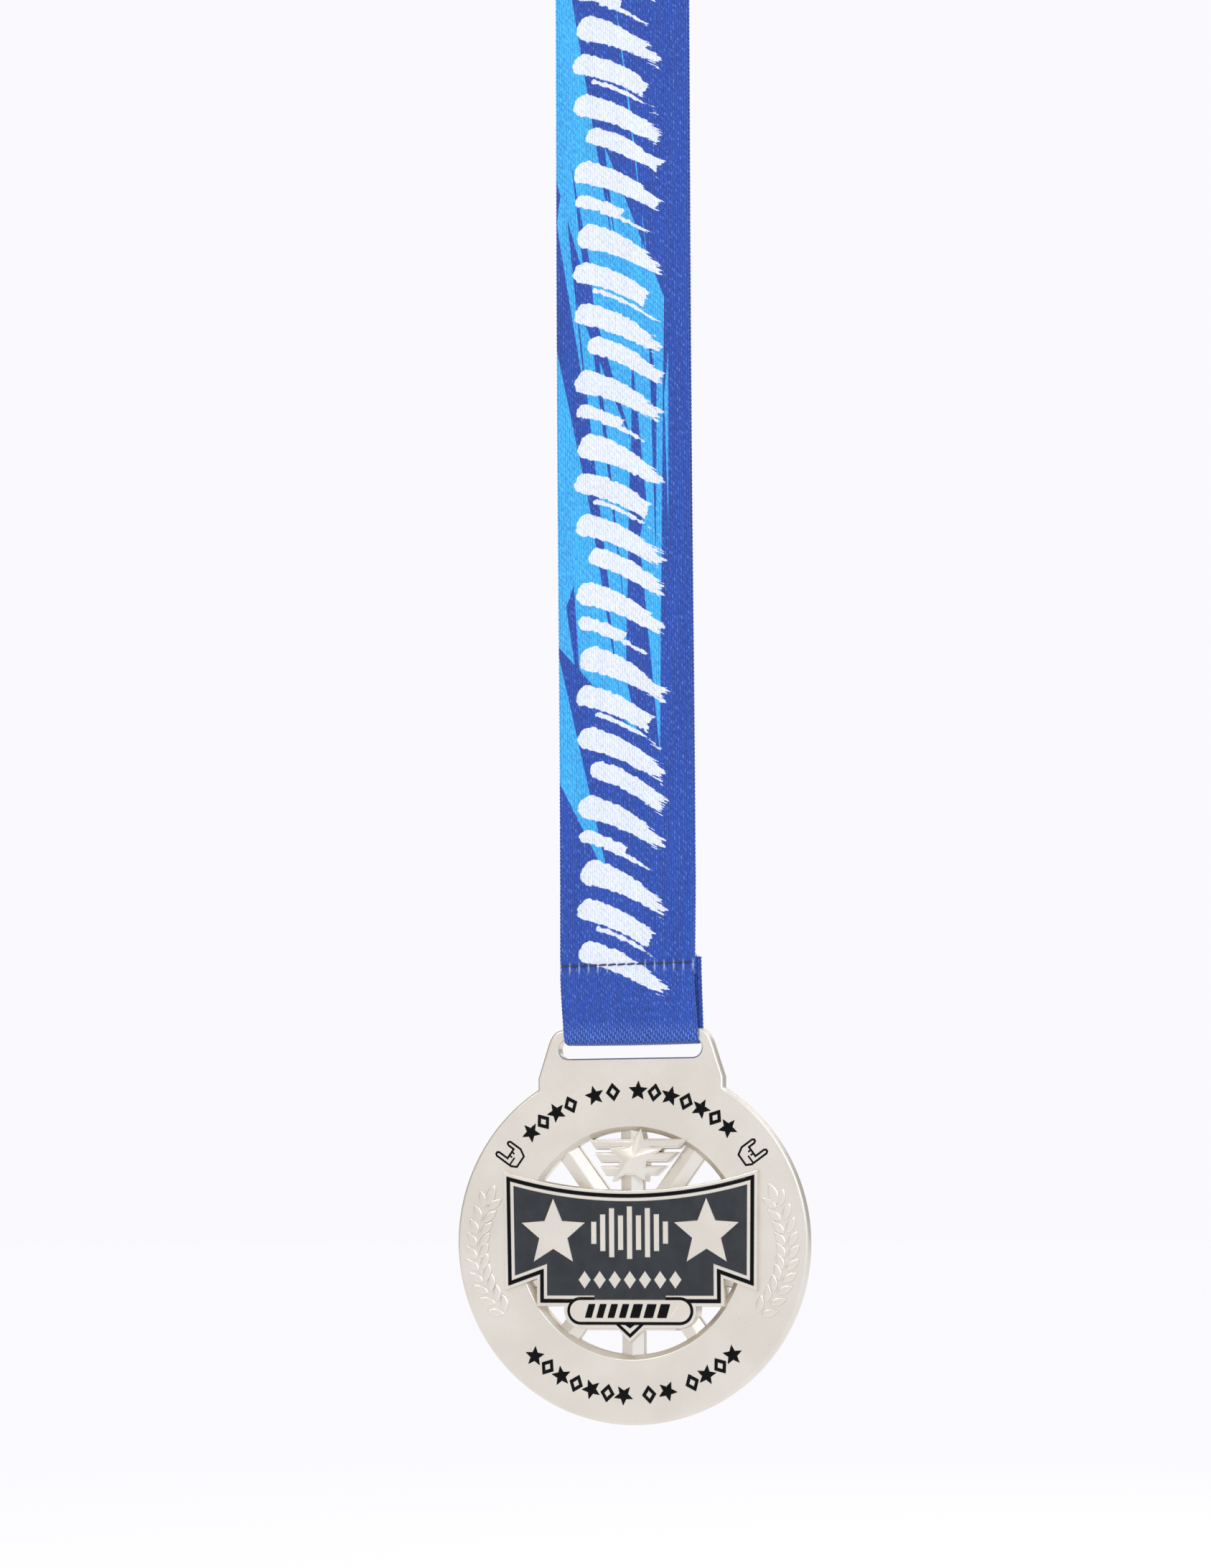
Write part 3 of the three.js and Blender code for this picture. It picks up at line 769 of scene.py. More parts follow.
def hand_face():
    """The metal inside the hand's drawn line, with notches where lines mark two knuckles and the thumb."""
    face = inset(HAND, HAND_LINE)
    top, left = face[7].y, face[12].x
    knuckles = []
    for x in KNUCKLES:
        far = x - HAND_NOTCH
        knuckles += corners((x, top), (x, KNUCKLE_FOOT), (far, KNUCKLE_FOOT), (far, top))
    low = THUMB_TOP - HAND_NOTCH
    thumb = corners((left, THUMB_TOP), (THUMB_REACH, THUMB_TOP), (THUMB_REACH, low), (left, low))
    return face[:8] + knuckles + face[8:13] + thumb + face[13:]


def ring_pools():
    """Every separate pool on the ring and in the pill: name, outline, holes, face height, edge chamfer."""
    pools = []
    for i, (x, half_width) in enumerate(PILL_MARKS):
        outline = bar(x, PILL_CENTRE, half_width, PILL_MARK_HALF_HEIGHT, PILL_MARK_SLANT)
        pools.append((f"pill_mark_enamel_{i + 1}", outline, [], PLAQUE_FRONT, CHAMFER))
    for arc_name, turn in (("upper", 0), ("lower", 180)):
        for i, angle in enumerate(MARK_ANGLES):
            outline, holes = star(*MARK_STAR), []
            if i % 2:
                outline = lozenge(*MARK_LOZENGE)
                holes = [inset(outline, LOZENGE_LINE)]
            spot, lean = on_ring(MARK_RADIUS, angle + turn), -angle - turn
            outline, *holes = (placed(points, spot, lean) for points in (outline, *holes))
            pools.append((f"{arc_name}_mark_enamel_{i + 1}", outline, holes, DISC_FRONT, CHAMFER))
    for name, side in (("left", -1), ("right", 1)):
        spot = on_ring(HAND_RADIUS, side * HAND_ANGLE)
        hand, face = (
            placed(outline if side < 0 else mirrored(outline), spot, -side * HAND_ANGLE)
            for outline in (HAND, hand_face())
        )
        pools.append((f"{name}_hand_enamel", hand, [face], DISC_FRONT, HAND_CHAMFER))
    return pools


def line_solid(levels, island_levels):
    """The black line: a band round the banner, one round the pill and one round the arrow."""
    line = slab(BLACK_OUTER, [BLACK_INNER], levels)
    combined("UNION", line, [slab(outline, [], levels) for outline in (PILL_BLACK, ARROW_BLACK)])
    islands = [slab(outline, [], island_levels) for outline in (PILL_FACE, ARROW_FACE)]
    return combined("DIFFERENCE", line, islands)


def through(outline, back_edge, front_edge):
    """A cutter through the disc that also shapes the edges it leaves in both faces."""
    levels = [(DISC_BACK + depth, distance) for depth, distance in back_edge]
    levels += [(DISC_FRONT - depth, distance) for depth, distance in front_edge]
    return slab(outline, [], levels)


def casting(pools):
    disc = slab(circle(DISC_RADIUS), [], soft(DISC_BACK, DISC_FRONT, EDGE_RADIUS))
    combined("UNION", disc, [slab(lug_outline(), [], soft(DISC_BACK, DISC_FRONT, EDGE_RADIUS))])
    throat = through(circle(THROAT_RADIUS, 128), THROAT_BACK_EDGE, THROAT_FRONT_EDGE)
    slot_middle, slot_half = (SLOT_TOP + SLOT_BOTTOM) / 2, (SLOT_TOP - SLOT_BOTTOM) / 2
    slot = through(stadium(slot_middle, SLOT_HALF_WIDTH, slot_half), SLOT_EDGE, SLOT_EDGE[::-1])
    combined("DIFFERENCE", disc, [throat, slot])
    combined("UNION", disc, [spoke(i) for i in range(SPOKES)])
    plaque = raised(DISC_BACK, DISC_FRONT, PLAQUE_FRONT)
    tier = raised(DISC_BACK, 0, DISC_FRONT)
    combined("UNION", disc, [
        slab(BANNER, [], plaque), slab(PILL_RIM, [], plaque), slab(inset(ARROW_BLACK, -RIM), [], plaque),
        slab(bar(*BRIDGE), [], tier), *emblem(), *laurels(),
    ])
    recess = flared(PLAQUE_FLOOR, PLAQUE_FRONT)
    above = 2 * HEADROOM
    island = [(PLAQUE_FLOOR - CLEAR, 0), (PLAQUE_FRONT - CHAMFER, 0), (PLAQUE_FRONT + above, CHAMFER + above)]
    cuts = [slab(field_outline(), banner_ornaments(), recess), line_solid(recess, island)]
    for _, outline, holes, face, edge in pools:
        cuts.append(slab(outline, holes, flared(face - RECESS_DEPTH, face, edge)))
    combined("DIFFERENCE", disc, cuts)
    return disc


def medal():
    pools = ring_pools()
    metal = nickel()
    black = enamel("black_enamel", BLACK, MOTTLED_BLACK, 0.08, 0.11)
    charcoal = enamel("charcoal_enamel", CHARCOAL, MOTTLED_CHARCOAL, 0.34, 0.3)
    disc = into_frame(casting(pools), "cast_medal", metal)
    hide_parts("medal_casting")
    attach(disc, "medal")

    top = PLAQUE_FRONT - ENAMEL_DROP
    bed = PLAQUE_FLOOR + FLOOR_GAP
    creeping = [(bed, 0)] + [(top + height, distance) for height, distance in MENISCUS]
    field = slab(field_outline(), banner_ornaments(), creeping)
    cleared = [(bed - CLEAR, 0), (PLAQUE_FRONT, 0)]
    line = line_solid(domed(bed, top, LINE_DOME_RISE, LINE_DOME_REACH), cleared)
    mouth = bar(0, PILL_TOP + MOUTH_HALF_HEIGHT - CLEAR, MOUTH_HALF, MOUTH_HALF_HEIGHT)
    combined("DIFFERENCE", line, [slab(mouth, [], cleared)])
    glazes = [("banner_field_enamel", field, charcoal), ("plaque_outline_enamel", line, black)]
    for name, outline, holes, face, edge in pools:
        reach = HAND_DOME_REACH if edge == HAND_CHAMFER else DOME_REACH
        levels = domed(face - RECESS_DEPTH + FLOOR_GAP, face - ENAMEL_DROP, DOME_RISE, reach)
        glazes.append((name, slab(outline, holes, levels), black))
    for node, pool, finish in glazes:
        into_frame(pool, node.replace("enamel", "glaze"), finish)
        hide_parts(node)
        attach(pool, "medal")


# ---- The ribbon's shape
def strand_half(height):
    return STRAND_HALF_GAP + (BEND_RADIUS - STRAND_HALF_GAP) * math.exp(height / GAP_FADE)


def sway(height):
    """How far both strands swing together, in y, away from the medal and the neck."""
    inside = max(0.0, min(1.0, (height - SWAY_START) / SWAY_FADE_IN, -height / SWAY_FADE_OUT))
    return SWAY * inside * math.sin(height / SWAY_WAVE + 1)


def strand(side, start, stop, step=4):
    count = max(2, round(abs(stop - start) / step))
    heights = [start + (stop - start) * i / count for i in range(count + 1)]
    return [(side * strand_half(z) + sway(z), z) for z in heights]


def curve_through(points, step):
    """A smooth line through the points, as evenly spaced places, and how far along each one is."""
    line = np.array([points[0], *points, points[-1]], float)
    t = np.linspace(0, 1, 12, endpoint=False)[:, None]
    dense = []
    for a, b, c, d in zip(line, line[1:], line[2:], line[3:]):
        dense.append(b + 0.5 * t * (c - a + t * (2 * a - 5 * b + 4 * c - d + t * (3 * (b - c) + d - a))))
    dense = np.vstack([*dense, line[-1:]])
    along = np.concatenate([[0], np.cumsum(np.linalg.norm(np.diff(dense, axis=0), axis=1))])
    places = np.linspace(0, along[-1], round(along[-1] / step) + 1)
    return np.column_stack([np.interp(places, along, dense[:, k]) for k in (0, 1)]), places


def cloth_section():
    """(u, half thickness) across the ribbon: a rounded selvage bead, a shallow groove and the body."""
    half = THICKNESS / 2
    edge = [(0, 0), (0.06, 0.2), (0.2, 0.34), (0.45, 0.43), (0.75, half), (1.05, 0.4), (1.35, 0.44)]
    body = [(u, half) for u in np.linspace(2.5, RIBBON_WIDTH - 2.5, 15)]
    return np.array(edge + body + [(RIBBON_WIDTH - u, h) for u, h in reversed(edge)])


def side_shift(v):
    """How far the ribbon stands to the right, at a place along it; it skews before the bar."""
    t = np.clip(v / SKEW_LENGTH + 1, 0, 1)
    return FOLD_SHIFT + (SEAM_SHIFT - FOLD_SHIFT) * t * t * (3 - 2 * t)


def cloth(name, points, first, step, seam_at=()):
    """A woven strip along a line across (y, z). first is its place on the whole ribbon where it starts.

    Its attribute "cloth" holds the place across and along the ribbon, in millimetres, and 1 on the outer
    face or -1 on the inner one.
    """
    line, places = curve_through(points, step)
    tangent = np.gradient(line, axis=0)
    tangent /= np.linalg.norm(tangent, axis=1)[:, None]
    outward = np.column_stack([-tangent[:, 1], tangent[:, 0]])
    section = cloth_section()
    u = np.concatenate([section[:, 0], section[-2:0:-1, 0]])
    face = np.concatenate([section[:, 1], -section[-2:0:-1, 1]])
    v = places + first
    rows, columns = len(v), len(u)
    pinch = np.ones(rows)
    for seam in seam_at:
        pinch -= SEAM_PINCH * np.exp(-(((v - seam) / PINCH_WIDTH) ** 2))
    crown = CROWN * np.cos(math.pi * (u / RIBBON_WIDTH - 0.5))
    offset = face[None, :] * pinch[:, None] + crown[None, :]
    rim = np.clip(1 - np.minimum(u, RIBBON_WIDTH - u) / SELVAGE, 0, 1) * np.sign(u - RIBBON_WIDTH / 2)
    scallop = SCALLOP * np.sin(2 * math.pi * v / SCALLOP_PITCH)[:, None] * rim[None, :]
    x = (u - RIBBON_WIDTH / 2)[None, :] + side_shift(v)[:, None] + scallop
    y = line[:, :1] + outward[:, :1] * offset
    z = line[:, 1:] + outward[:, 1:] * offset
    points = np.stack([x, y, z], axis=2).reshape(-1, 3) * MM
    start = (np.arange(rows - 1) * columns)[:, None]
    here = start + np.arange(columns)
    beside = start + np.roll(np.arange(columns), -1)
    quads = np.stack([here, here + columns, beside + columns, beside], axis=2).reshape(-1, 4)
    first_end, last_end = range(columns), range(rows * columns - 1, (rows - 1) * columns - 1, -1)
    made = mesh_object(name, points.tolist(), quads.tolist() + [list(first_end), list(last_end)])
    where = np.stack(np.broadcast_arrays(u[None, :], v[:, None], np.sign(face)[None, :]), axis=2)
    attribute = made.data.attributes.new("cloth", "FLOAT_VECTOR", "POINT")
    attribute.data.foreach_set("vector", where.astype(np.float32).ravel())
    return made, places[-1]


# ---- The ribbon's print, drawn in millimetres across (u) and up (v) from the seam
STROKE_LEAN = math.radians(27)
STROKE_ARCH = 1.2
ARCH_START = 4
ARCH_LENGTH = 16
LOWEST_STROKE = 2.6
DRY_DEPTH = 4.2
TORN_DEPTH = 2.6
WOBBLE = 1.1
# Brush strokes from the lowest up: where each starts and ends across, its half thickness there, and the
# rise to the next one
BRUSHES = [
    (5.5, 20.0, 1.9, 1.6, 3.8), (7.4, 19.4, 0.4, 0.3, 4.0), (5.2, 17.4, 1.8, 1.7, 6.4),
    (6.4, 20.2, 2.2, 1.4, 4.0), (9.0, 17.6, 0.45, 0.3, 3.0), (4.9, 12.6, 1.1, 0.8, 5.2),
    (5.6, 19.8, 2.0, 1.5, 6.3), (7.4, 20.0, 1.5, 1.7, 6.3),
]


def strokes():
    """One repeat's brush strokes, all parallel: (u, v) at both ends and the half thickness there."""
    made, v, i = [], LOWEST_STROKE, 0
    while v < REPEAT - 2 * PRINT_FOOT:
        u0, u1, left, right, rise = BRUSHES[i % len(BRUSHES)]
        made.append((u0, v, u1, v - (u1 - u0) * math.tan(STROKE_LEAN), left, right))
        v += rise
        i += 1
    return made


PALE_SHARDS = [
    ((-1, 205), (-1, 149), (20, 76)), ((9, 152), (19, 38.7), (20.5, 122)),
    ((-1, 119), (-1, 60), (15, 42)), ((-1, 62), (-1, 36), (9.4, 15.7)),
    ((4, 122), (12.5, 44), (14, 96)), ((11, 182), (18, 124), (14, 160)),
    ((0.2, 137), (5.6, 104), (1.4, 146)), ((20.4, 104), (21, 80), (21.2, 112)),
]
DARK_SHARDS = [
    ((3, 148), (13, 62), (6.4, 130)), ((14.5, 170), (16.6, 126), (16.2, 160)),
    ((1.6, 66), (4.5, 46), (3.1, 70)), ((14.4, 112), (13.8, 70), (17, 84)),
    ((5, 92), (11.5, 50), (7.6, 84)), ((7, 160), (11.5, 132), (8.6, 158)),
    ((17.6, 116), (18.6, 74), (19, 106)),
]


def nearest_stroke(look, place):
    """Distance in millimetres to the nearest brush stroke, negative inside it."""
    nearest = None
    for u0, v0, u1, v1, left, right in strokes():
        span = Vector((u1 - u0, v1 - v0, 0))
        local = look.vector("SUBTRACT", place, (u0, v0, 0))
        share = look.vector("DOT_PRODUCT", local, span / span.length_squared)
        thickness = look.math("MULTIPLY_ADD", share, right - left, left)
        foot = look.vector("SCALE", tuple(span), scale=look.math("MAXIMUM", share, 0))
        beside = look.math("SUBTRACT", look.vector("DISTANCE", local, foot), thickness)
        past_end = look.math("MULTIPLY_ADD", share, span.length, -span.length)
        distance = look.math("MAXIMUM", beside, past_end)
        nearest = distance if nearest is None else look.math("MINIMUM", nearest, distance)
    return nearest


def inside_shards(look, place, shards):
    """1 inside any of the triangles, which are drawn anticlockwise, and 0 outside."""
    nearest = None
    for shard in shards:
        edge = None
        for a, b in zip(shard, shard[1:] + shard[:1]):
            normal = Vector((b[1] - a[1], a[0] - b[0], 0)).normalized()
            corner = normal.dot(Vector((*a, 0)))
            past = look.math("SUBTRACT", look.vector("DOT_PRODUCT", place, normal), corner)
            edge = past if edge is None else look.math("MAXIMUM", edge, past)
        nearest = edge if nearest is None else look.math("MINIMUM", nearest, edge)
    return look.ramp(nearest, 0.07, -0.07)


def brush_paint(look, u, repeat, place):
    """1 under the white brush strokes, which arch slightly and run dry towards their right ends."""
    leaning = {"Vector": place, "Angle": STROKE_LEAN}
    turned = look.node("ShaderNodeVectorRotate", leaning, rotation_type="Z_AXIS").outputs[0]
    streaks = look.noise(turned, 1.0, 3.0, (0.14, 1.5, 1))
    frayed = look.noise(turned, 1.0, 2.0, (0.5, 3.4, 1))
    wobble = look.times(look.math("SUBTRACT", look.noise(place, 0.9, 3.0), 0.5), WOBBLE)
    dry = look.times(look.ramp(u, 13.5, 20.5), look.math("SUBTRACT", streaks, 0.4))
    torn = look.times(look.ramp(u, 15.5, 20), look.math("SUBTRACT", frayed, 0.45))
    turn = math.pi / ARCH_LENGTH
    swell = look.math("SINE", look.math("MULTIPLY_ADD", u, turn, -turn * ARCH_START))
    arched = look.math("MULTIPLY_ADD", swell, -STROKE_ARCH, repeat)
    bent = look.node("ShaderNodeCombineXYZ", {0: u, 1: arched}).outputs[0]
    distance = look.math("ADD", nearest_stroke(look, bent), wobble)
    distance = look.math("MULTIPLY_ADD", dry, DRY_DEPTH, distance)
    distance = look.math("MULTIPLY_ADD", torn, TORN_DEPTH, distance)
    return look.ramp(distance, 0.1, -0.1)


def print_colour(look, u, v, outer):
    """The printed or dyed colour, and 1 where it is white paint."""
    repeat = look.math("WRAP", v, REPEAT - PRINT_FOOT, -PRINT_FOOT)
    place = look.node("ShaderNodeCombineXYZ", {0: u, 1: repeat}).outputs[0]
    paint = brush_paint(look, u, repeat, place)
    pale, dark = inside_shards(look, place, PALE_SHARDS), inside_shards(look, place, DARK_SHARDS)
    ground = look.mix(look.math("SUBTRACT", pale, dark, clamp=True), colour(ROYAL), colour(PALE_BLUE))
    printed = look.mix(paint, ground, colour(WHITE))
    return look.mix(look.math("GREATER_THAN", outer, 0.5), colour(DYED_BACK), printed), paint


def weave(look, where, u, v, dyed, paint):
    """The colour with painted shade between the upright floats, painted light on their tops and a painted
    sparkle in its flecks, then the floats' own height and the fleck in them.
    """
    column = look.math("DIVIDE", u, FLOAT_WIDTH)
    stagger = look.times(look.math("FLOOR", column), FLOAT_STAGGER)
    row = look.math("ADD", look.math("DIVIDE", v, FLOAT_LENGTH), stagger)
    across = look.math("SINE", look.times(look.math("FRACT", column), math.pi))
    lengthways = look.math("SINE", look.times(look.math("FRACT", row), math.pi))
    floats = look.times(look.math("POWER", across, 0.6), look.math("POWER", lengthways, 0.35))
    fleck = look.noise(where, 1.0, 1.0, (2.6, 1.1, 1))
    slub = look.noise(where, 1.0, 3.0, (0.35, 0.05, 1))
    # The flecks lighten and darken the colour as a painted sparkle of the satin; the slubs vary its tone
    shade = look.math("ADD", look.ramp(fleck, 0.3, 0.72, -0.16, 0.2), look.ramp(slub, 0.3, 0.7, -0.06, 0.06))
    # Painted shade in the gaps between the floats and painted light on their tops
    shade = look.math("ADD", look.ramp(floats, 0.1, 0.95, 0.72, 1.08), shade)
    # The painted shade is weaker on the white paint
    depth = look.ramp(paint, 0, 1, 1, WHITE_SHADE_DEPTH)
    shade = look.math("MULTIPLY_ADD", look.math("SUBTRACT", shade, 1), depth, 1)
    woven = look.vector("SCALE", dyed, scale=shade)
    # A painted highlight where the tallest floats meet bright flecks
    glint = look.times(look.ramp(floats, 0.6, 0.95), look.ramp(fleck, 0.52, 0.72))
    woven = look.mix(look.times(glint, 0.3), woven, colour(FLOAT_GLINT))
    near_fold = look.ramp(look.math("ABSOLUTE", look.math("ADD", v, FOLD_PLACE)), 4.2, 1.2)
    ribs = look.times(look.ramp(across, 0.55, 0.95), look.ramp(lengthways, 0.3, 0.8))
    ribs = look.times(look.times(ribs, near_fold), 0.4)
    return look.mix(ribs, woven, colour(RIB_GLINT)), floats, fleck


def seam_pucker(look, u, v):
    """1 at the needle holes between the stitches, where the cloth is drawn in."""
    near_seam = look.math("ABSOLUTE", look.math("MULTIPLY_ADD", u, -SEAM_SLOPE, v))
    beat = look.math("FRACT", look.math("DIVIDE", look.math("SUBTRACT", u, RIBBON_WIDTH / 2), STITCH_PITCH))
    hole = look.math("ABSOLUTE", look.math("SUBTRACT", beat, 0.5))
    return look.times(look.ramp(near_seam, 1.5, 0.2), look.ramp(hole, 0.34, 0.5))


def printed_satin():
    """Dye-printed polyester satin, from the cloth's own place across and along the ribbon."""
    look = Look("printed_satin", Roughness=0.62, Sheen_Weight=0.25, Sheen_Roughness=0.4)
    look.feed(look.shader.inputs["Specular IOR Level"], 0.35)
    where = look.node("ShaderNodeAttribute", attribute_name="cloth").outputs["Vector"]
    u, v, outer = look.node("ShaderNodeSeparateXYZ", {0: where}).outputs
    dyed, paint = print_colour(look, u, v, outer)
    woven, floats, fleck = weave(look, where, u, v, dyed, paint)
    pucker = seam_pucker(look, u, v)
    shown = look.mix(look.times(pucker, 0.55), woven, colour(PUCKERED))
    look.base(shown)
    height = look.math("MULTIPLY_ADD", pucker, -0.9, floats)
    look.bump(look.math("MULTIPLY_ADD", fleck, 0.5, height), 0.06)
    return look.material


def thread_material():
    """Navy spun thread with a fine twist."""
    look = Look("navy_thread", Roughness=0.75, Sheen_Weight=0.3)
    place = look.place()
    twist = look.noise(place, 3.0, 2.0, (1, 1, 4))
    tone = look.mix(look.ramp(twist, 0.3, 0.7), colour(NAVY), colour(WORN_NAVY))
    look.base(tone)
    look.bump(twist, 0.05)
    return look.material


def fibre_material():
    """Undyed yarn ends where the ribbon was cut."""
    look = Look("cut_yarn", Roughness=0.8, Sheen_Weight=0.4)
    tint = look.noise(look.place(), 1.2, 1.0)
    tone = look.mix(look.ramp(tint, 0.35, 0.65), colour(YARN), colour(TINTED_YARN))
    look.base(tone)
    return look.material


def tube(points, radii, sides=8):
    """Points and faces of a closed tube along the points, whose ends taper as its radii do."""
    line = [Vector(p) for p in points]
    rings, faces = [], []
    for i, spot in enumerate(line):
        along = (line[min(i + 1, len(line) - 1)] - line[max(i - 1, 0)]).normalized()
        upright = abs(along.z) > 0.9
        side = (along.orthogonal() if upright else along.cross(Vector((0, 0, 1)))).normalized()
        up = side.cross(along)
        for k in range(sides):
            turn = 2 * math.pi * k / sides
            rings.append(spot + radii[i] * (math.cos(turn) * side + math.sin(turn) * up))
    for i in range(len(line) - 1):
        for k in range(sides):
            a, b = i * sides + k, i * sides + (k + 1) % sides
            faces.append((a, a + sides, b + sides, b))
    last = (len(line) - 1) * sides
    faces += [tuple(range(sides)), tuple(range(last + sides - 1, last - 1, -1))]
    return rings, faces


def bundle(name, tubes, material):
    """One object of many tubes."""
    points, faces = [], []
    for ring, sides in tubes:
        faces += [tuple(len(points) + i for i in face) for face in sides]
        points += [tuple(p * MM) for p in ring]
    return finished(mesh_object(name, points, faces), material, TUBE_SHARP_ANGLE)


def stitches(name, surface, direction, material):
    """Lockstitches across the ribbon on a face at y = surface; direction is -1 in front and 1 behind."""
    tubes = []
    for i in range(STITCHES):
        arch, radii = [], []
        for k in range(STITCH_STEPS + 1):
            t = 2 * k / STITCH_STEPS - 1
            x = (i + 0.5 * (1 - STITCHES) + STITCH_SHARE * t) * STITCH_PITCH + SEAM_SHIFT
            lift = STITCH_LIFT - STITCH_DIP * t**4
            arch.append((x, surface + direction * lift, SEAM_HEIGHT + SEAM_SLOPE * x + STITCH_LEAN * t))
            radii.append(STITCH_RADIUS * (1 - STITCH_TAPER * abs(t) ** 3))
        tubes.append(tube(arch, radii))
    return bundle(name, tubes, material)


def cut_fibres(material, x_from, x_to, y, z):
    """Loose yarn ends along a cut edge."""
    dice = random.Random(FIBRE_SEED)
    lean_x, lean_y = FIBRE_LEAN
    tubes = []
    for _ in range(FIBRES):
        foot = (dice.uniform(x_from, x_to), y + dice.uniform(-FIBRE_LAYER, FIBRE_LAYER), z - FIBRE_ROOT)
        lean = Vector((dice.uniform(-lean_x, lean_x), dice.uniform(-lean_y, lean_y), 0))
        length = dice.uniform(*FIBRE_LENGTHS)
        line = [Vector(foot) + length * (t * Vector((0, 0, 1)) + t * t * lean) for t, _ in FIBRE_SHAPE]
        tubes.append(tube(line, [radius for _, radius in FIBRE_SHAPE], 5))
    return bundle("cut_yarn_ends", tubes, material)


def ribbon():
    satin = printed_satin()
    navy, bare = thread_material(), fibre_material()
    loop = LOOP_SIDE + [LOOP_FOOT] + [(-y, z) for y, z in reversed(LOOP_SIDE)]
    loop = [(y, z - BAR_DROP) for y, z in loop]
    start = [TAIL_END, TAIL_AT_SEAM, *loop, FRONT_AT_SEAM, FRONT_ABOVE_SEAM]
    _, run = curve_through(start[:-1], 0.5)
    first = -run[-1]
    front_line = start + strand(-1, STRAND_FOOT, PIECE_JOIN)
    lower, length = cloth("ribbon_front_cloth", front_line, first, SCALLOP_PITCH / 4, (0, first + TAIL_SEAM))
    over = [tuple(p) for p in arc((0, 0), BEND_RADIUS, 180 - NECK_GAP, NECK_GAP, 12)]
    neck_line = strand(-1, PIECE_JOIN, NECK_FOOT) + over + strand(1, NECK_FOOT, PIECE_JOIN)
    neck, neck_length = cloth("ribbon_neck_cloth", neck_line, first + length, SCALLOP_PITCH / 2)
    back_line = strand(1, PIECE_JOIN, STRAND_FOOT) + BACK_TUCK
    back_start = first + length + neck_length
    back, back_length = cloth("ribbon_back_cloth", back_line, back_start, SCALLOP_PITCH / 4)
    on_neck = ["ribbon_neck_cloth"]
    for piece, run_length, nodes, hung_from in (
        (neck, neck_length, ("ribbon_neck_bend", "ribbon_front_upper", "ribbon_back_upper"), []),
        (lower, length, ("ribbon_front_middle", "ribbon_front_lower", "ribbon_slot_loop"), on_neck),
        (back, back_length, ("ribbon_back_middle", "ribbon_back_lower"), on_neck),
    ):
        finished(piece, satin, CLOTH_SHARP_ANGLE)
        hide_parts(*nodes)
    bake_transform(neck)
    for piece in (lower, back):
        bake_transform(piece)

    needle = stitches("needle_stitches", -SEAM_HALF_STACK, -1, navy)
    bobbin = stitches("bobbin_stitches", SEAM_HALF_STACK, 1, navy)
    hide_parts("seam_needle_thread")
    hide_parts("seam_bobbin_thread")
    ends = cut_fibres(bare, -FIBRE_SPAN + FOLD_SHIFT, FIBRE_SPAN + FOLD_SHIFT, *TAIL_END)
    for piece, slot in ((needle, "navy_thread"), (bobbin, "navy_thread"), (ends, "printed_ribbon")):
        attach(piece, "ribbon_lower")


# ---- The stage
KEY_SIDE = Vector((0.6, -0.7, 0.4)).normalized()
SEEN_SKY = (0.955, 0.95, 0.985, 1.0)
# The sky that lights the scene: its tone by the share of the way from its far side to its key side
SKY_SIDES = (-0.6, 0.9)
FAR_SKY = (0.36, 0.335, 0.315, 1)
MIDDLE_SKY = (0.84, 0.825, 0.82, 1)
MIDDLE_SHARE = 0.72
KEY_SKY = (0.9, 0.97, 1.08, 1)
FLOOR_DROP = 0.1
FLOOR_SIZE = 9.0
PAPER = (0.3, 0.3, 0.31, 1.0)
PAPER_GLOW = (0.95, 0.945, 0.98, 1.0)
FLOOR_GLOW = 0.775
# Lights: name, place, target, diameter, power and tint, in metres and watts
LIGHTS = [
    ("key", (0.55, -0.7, 0.0), (0, 0, -0.4), 0.5, 1.8, (0.9, 0.96, 1.0)),
    ("glint", (-0.3, -0.6, 0.0), (0, 0, -0.42), 0.07, 0.8, (1, 1, 1)),
    ("back", (0.3, 0.8, 0.2), (0, 0, -0.3), 0.6, 2.0, (1, 1, 1)),
]


def sky():
    """A pale sky: reflections and light see it brighter on its key side, and the camera sees it even."""
    world = bpy.data.worlds.new("studio")
    bpy.context.scene.world = world
    world.use_nodes = True
    nodes = Nodes(world.node_tree)
    direction = nodes.node("ShaderNodeTexCoord").outputs["Generated"]
    towards = nodes.vector("DOT_PRODUCT", direction, KEY_SIDE)
    far, near = SKY_SIDES
    tone = nodes.node("ShaderNodeValToRGB", {
        0: nodes.node("ShaderNodeMapRange", {0: towards, 1: far, 2: near}).outputs[0],
    })
    tone.color_ramp.elements[0].color = FAR_SKY
    tone.color_ramp.elements[1].color = KEY_SKY
    tone.color_ramp.elements.new(MIDDLE_SHARE).color = MIDDLE_SKY
    lit = nodes.node("ShaderNodeBackground", {0: tone.outputs[0]}).outputs[0]
    seen = nodes.node("ShaderNodeBackground", {0: SEEN_SKY}).outputs[0]
    by_camera = nodes.node("ShaderNodeLightPath").outputs["Is Camera Ray"]
    shown = nodes.node("ShaderNodeMixShader", {0: by_camera, 1: lit, 2: seen}).outputs[0]
    nodes.feed(world.node_tree.nodes["World Output"].inputs[0], shown)


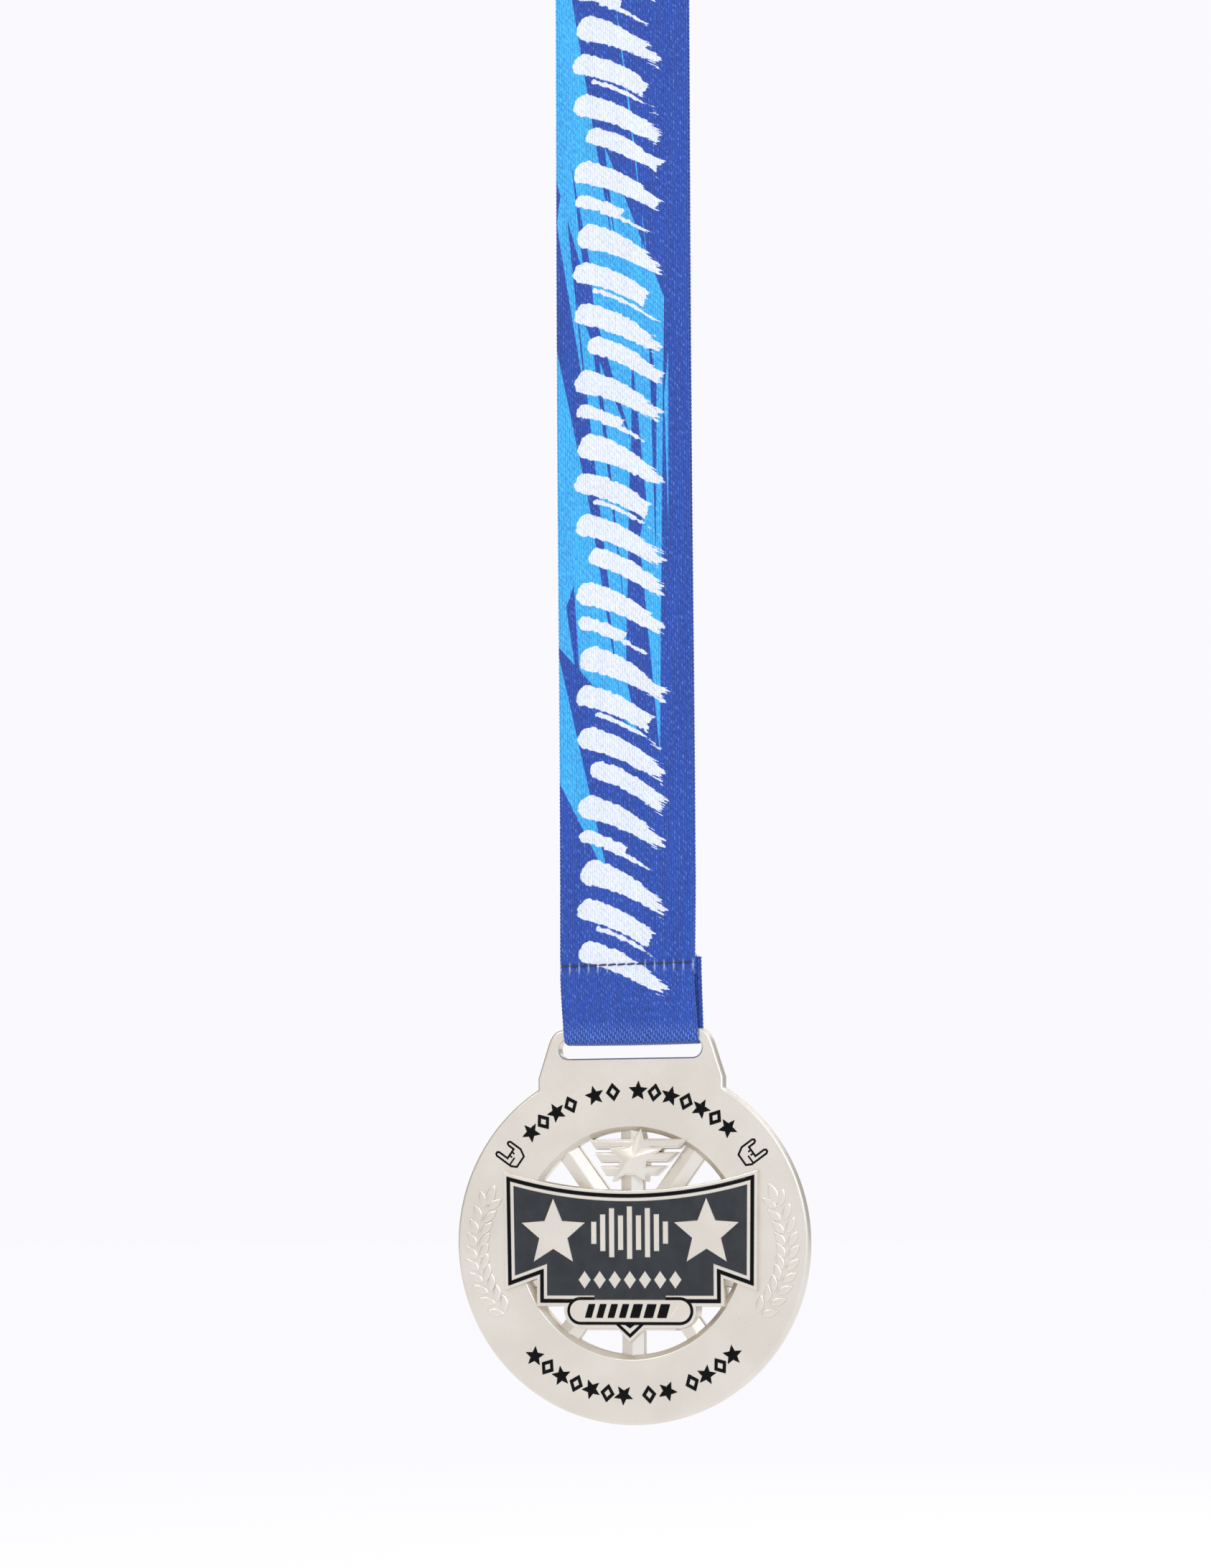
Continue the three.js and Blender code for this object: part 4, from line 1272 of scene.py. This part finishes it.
def stage():
    """The sky, the lights and a pale floor whose glow matches the sky, so that no horizon shows."""
    sky()
    low, size = cad_box[0].z - FLOOR_DROP, FLOOR_SIZE
    sides = [(-size, -size, low), (size, -size, low), (size, size, low), (-size, size, low)]
    floor = mesh_object("floor", sides, [(0, 1, 2, 3)])
    paper = Look("paper", Base_Color=PAPER, Roughness=0.95, Specular_IOR_Level=0.1)
    paper.feed(paper.shader.inputs["Emission Color"], PAPER_GLOW)
    paper.feed(paper.shader.inputs["Emission Strength"], FLOOR_GLOW)
    floor.data.materials.append(paper.material)
    for light in LIGHTS:
        area_light(*light)


def area_light(name, place, target, size, power, tint):
    light = bpy.data.lights.new(name, "AREA")
    light.color = tint
    light.shape, light.size, light.energy = "DISK", size, power
    lamp = bpy.data.objects.new(name, light)
    lamp.location = place
    lamp.rotation_euler = (Vector(target) - Vector(place)).to_track_quat("-Z", "Y").to_euler()
    bpy.context.scene.collection.objects.link(lamp)


CAMERA_AZIMUTH = 15.5
CAMERA_DISTANCE = 650
FRAME_HEIGHT = 284
FRAME_MIDDLE = -344.6
FRAME_LEFT = 4.6
CAMERA_PITCH = 4
SHIFT = 0.1
ROLL = 0.35
SENSOR = 36


def camera():
    data = bpy.data.cameras.new("camera")
    data.sensor_width = SENSOR
    data.lens = SENSOR * CAMERA_DISTANCE / FRAME_HEIGHT
    data.shift_y = SHIFT
    azimuth, pitch = math.radians(CAMERA_AZIMUTH), math.radians(CAMERA_PITCH)
    right = Vector((math.cos(azimuth), math.sin(azimuth), 0))
    level = Vector((-math.sin(azimuth), math.cos(azimuth), 0))
    ahead = math.cos(pitch) * level + Vector((0, 0, math.sin(pitch)))
    up = right.cross(ahead)
    middle = Vector((0, 0, FRAME_MIDDLE)) - FRAME_LEFT * right
    made = bpy.data.objects.new("camera", data)
    made.location = (middle - SHIFT * FRAME_HEIGHT * up - CAMERA_DISTANCE * ahead) * MM
    made.rotation_mode = "QUATERNION"
    turn = Matrix((right, up, -ahead)).transposed()
    made.rotation_quaternion = (Matrix.Rotation(math.radians(ROLL), 3, ahead) @ turn).to_quaternion()
    bpy.context.scene.collection.objects.link(made)
    bpy.context.scene.camera = made


camera()
stage()
medal()
ribbon()
bpy.context.scene.view_settings.view_transform = "Standard"
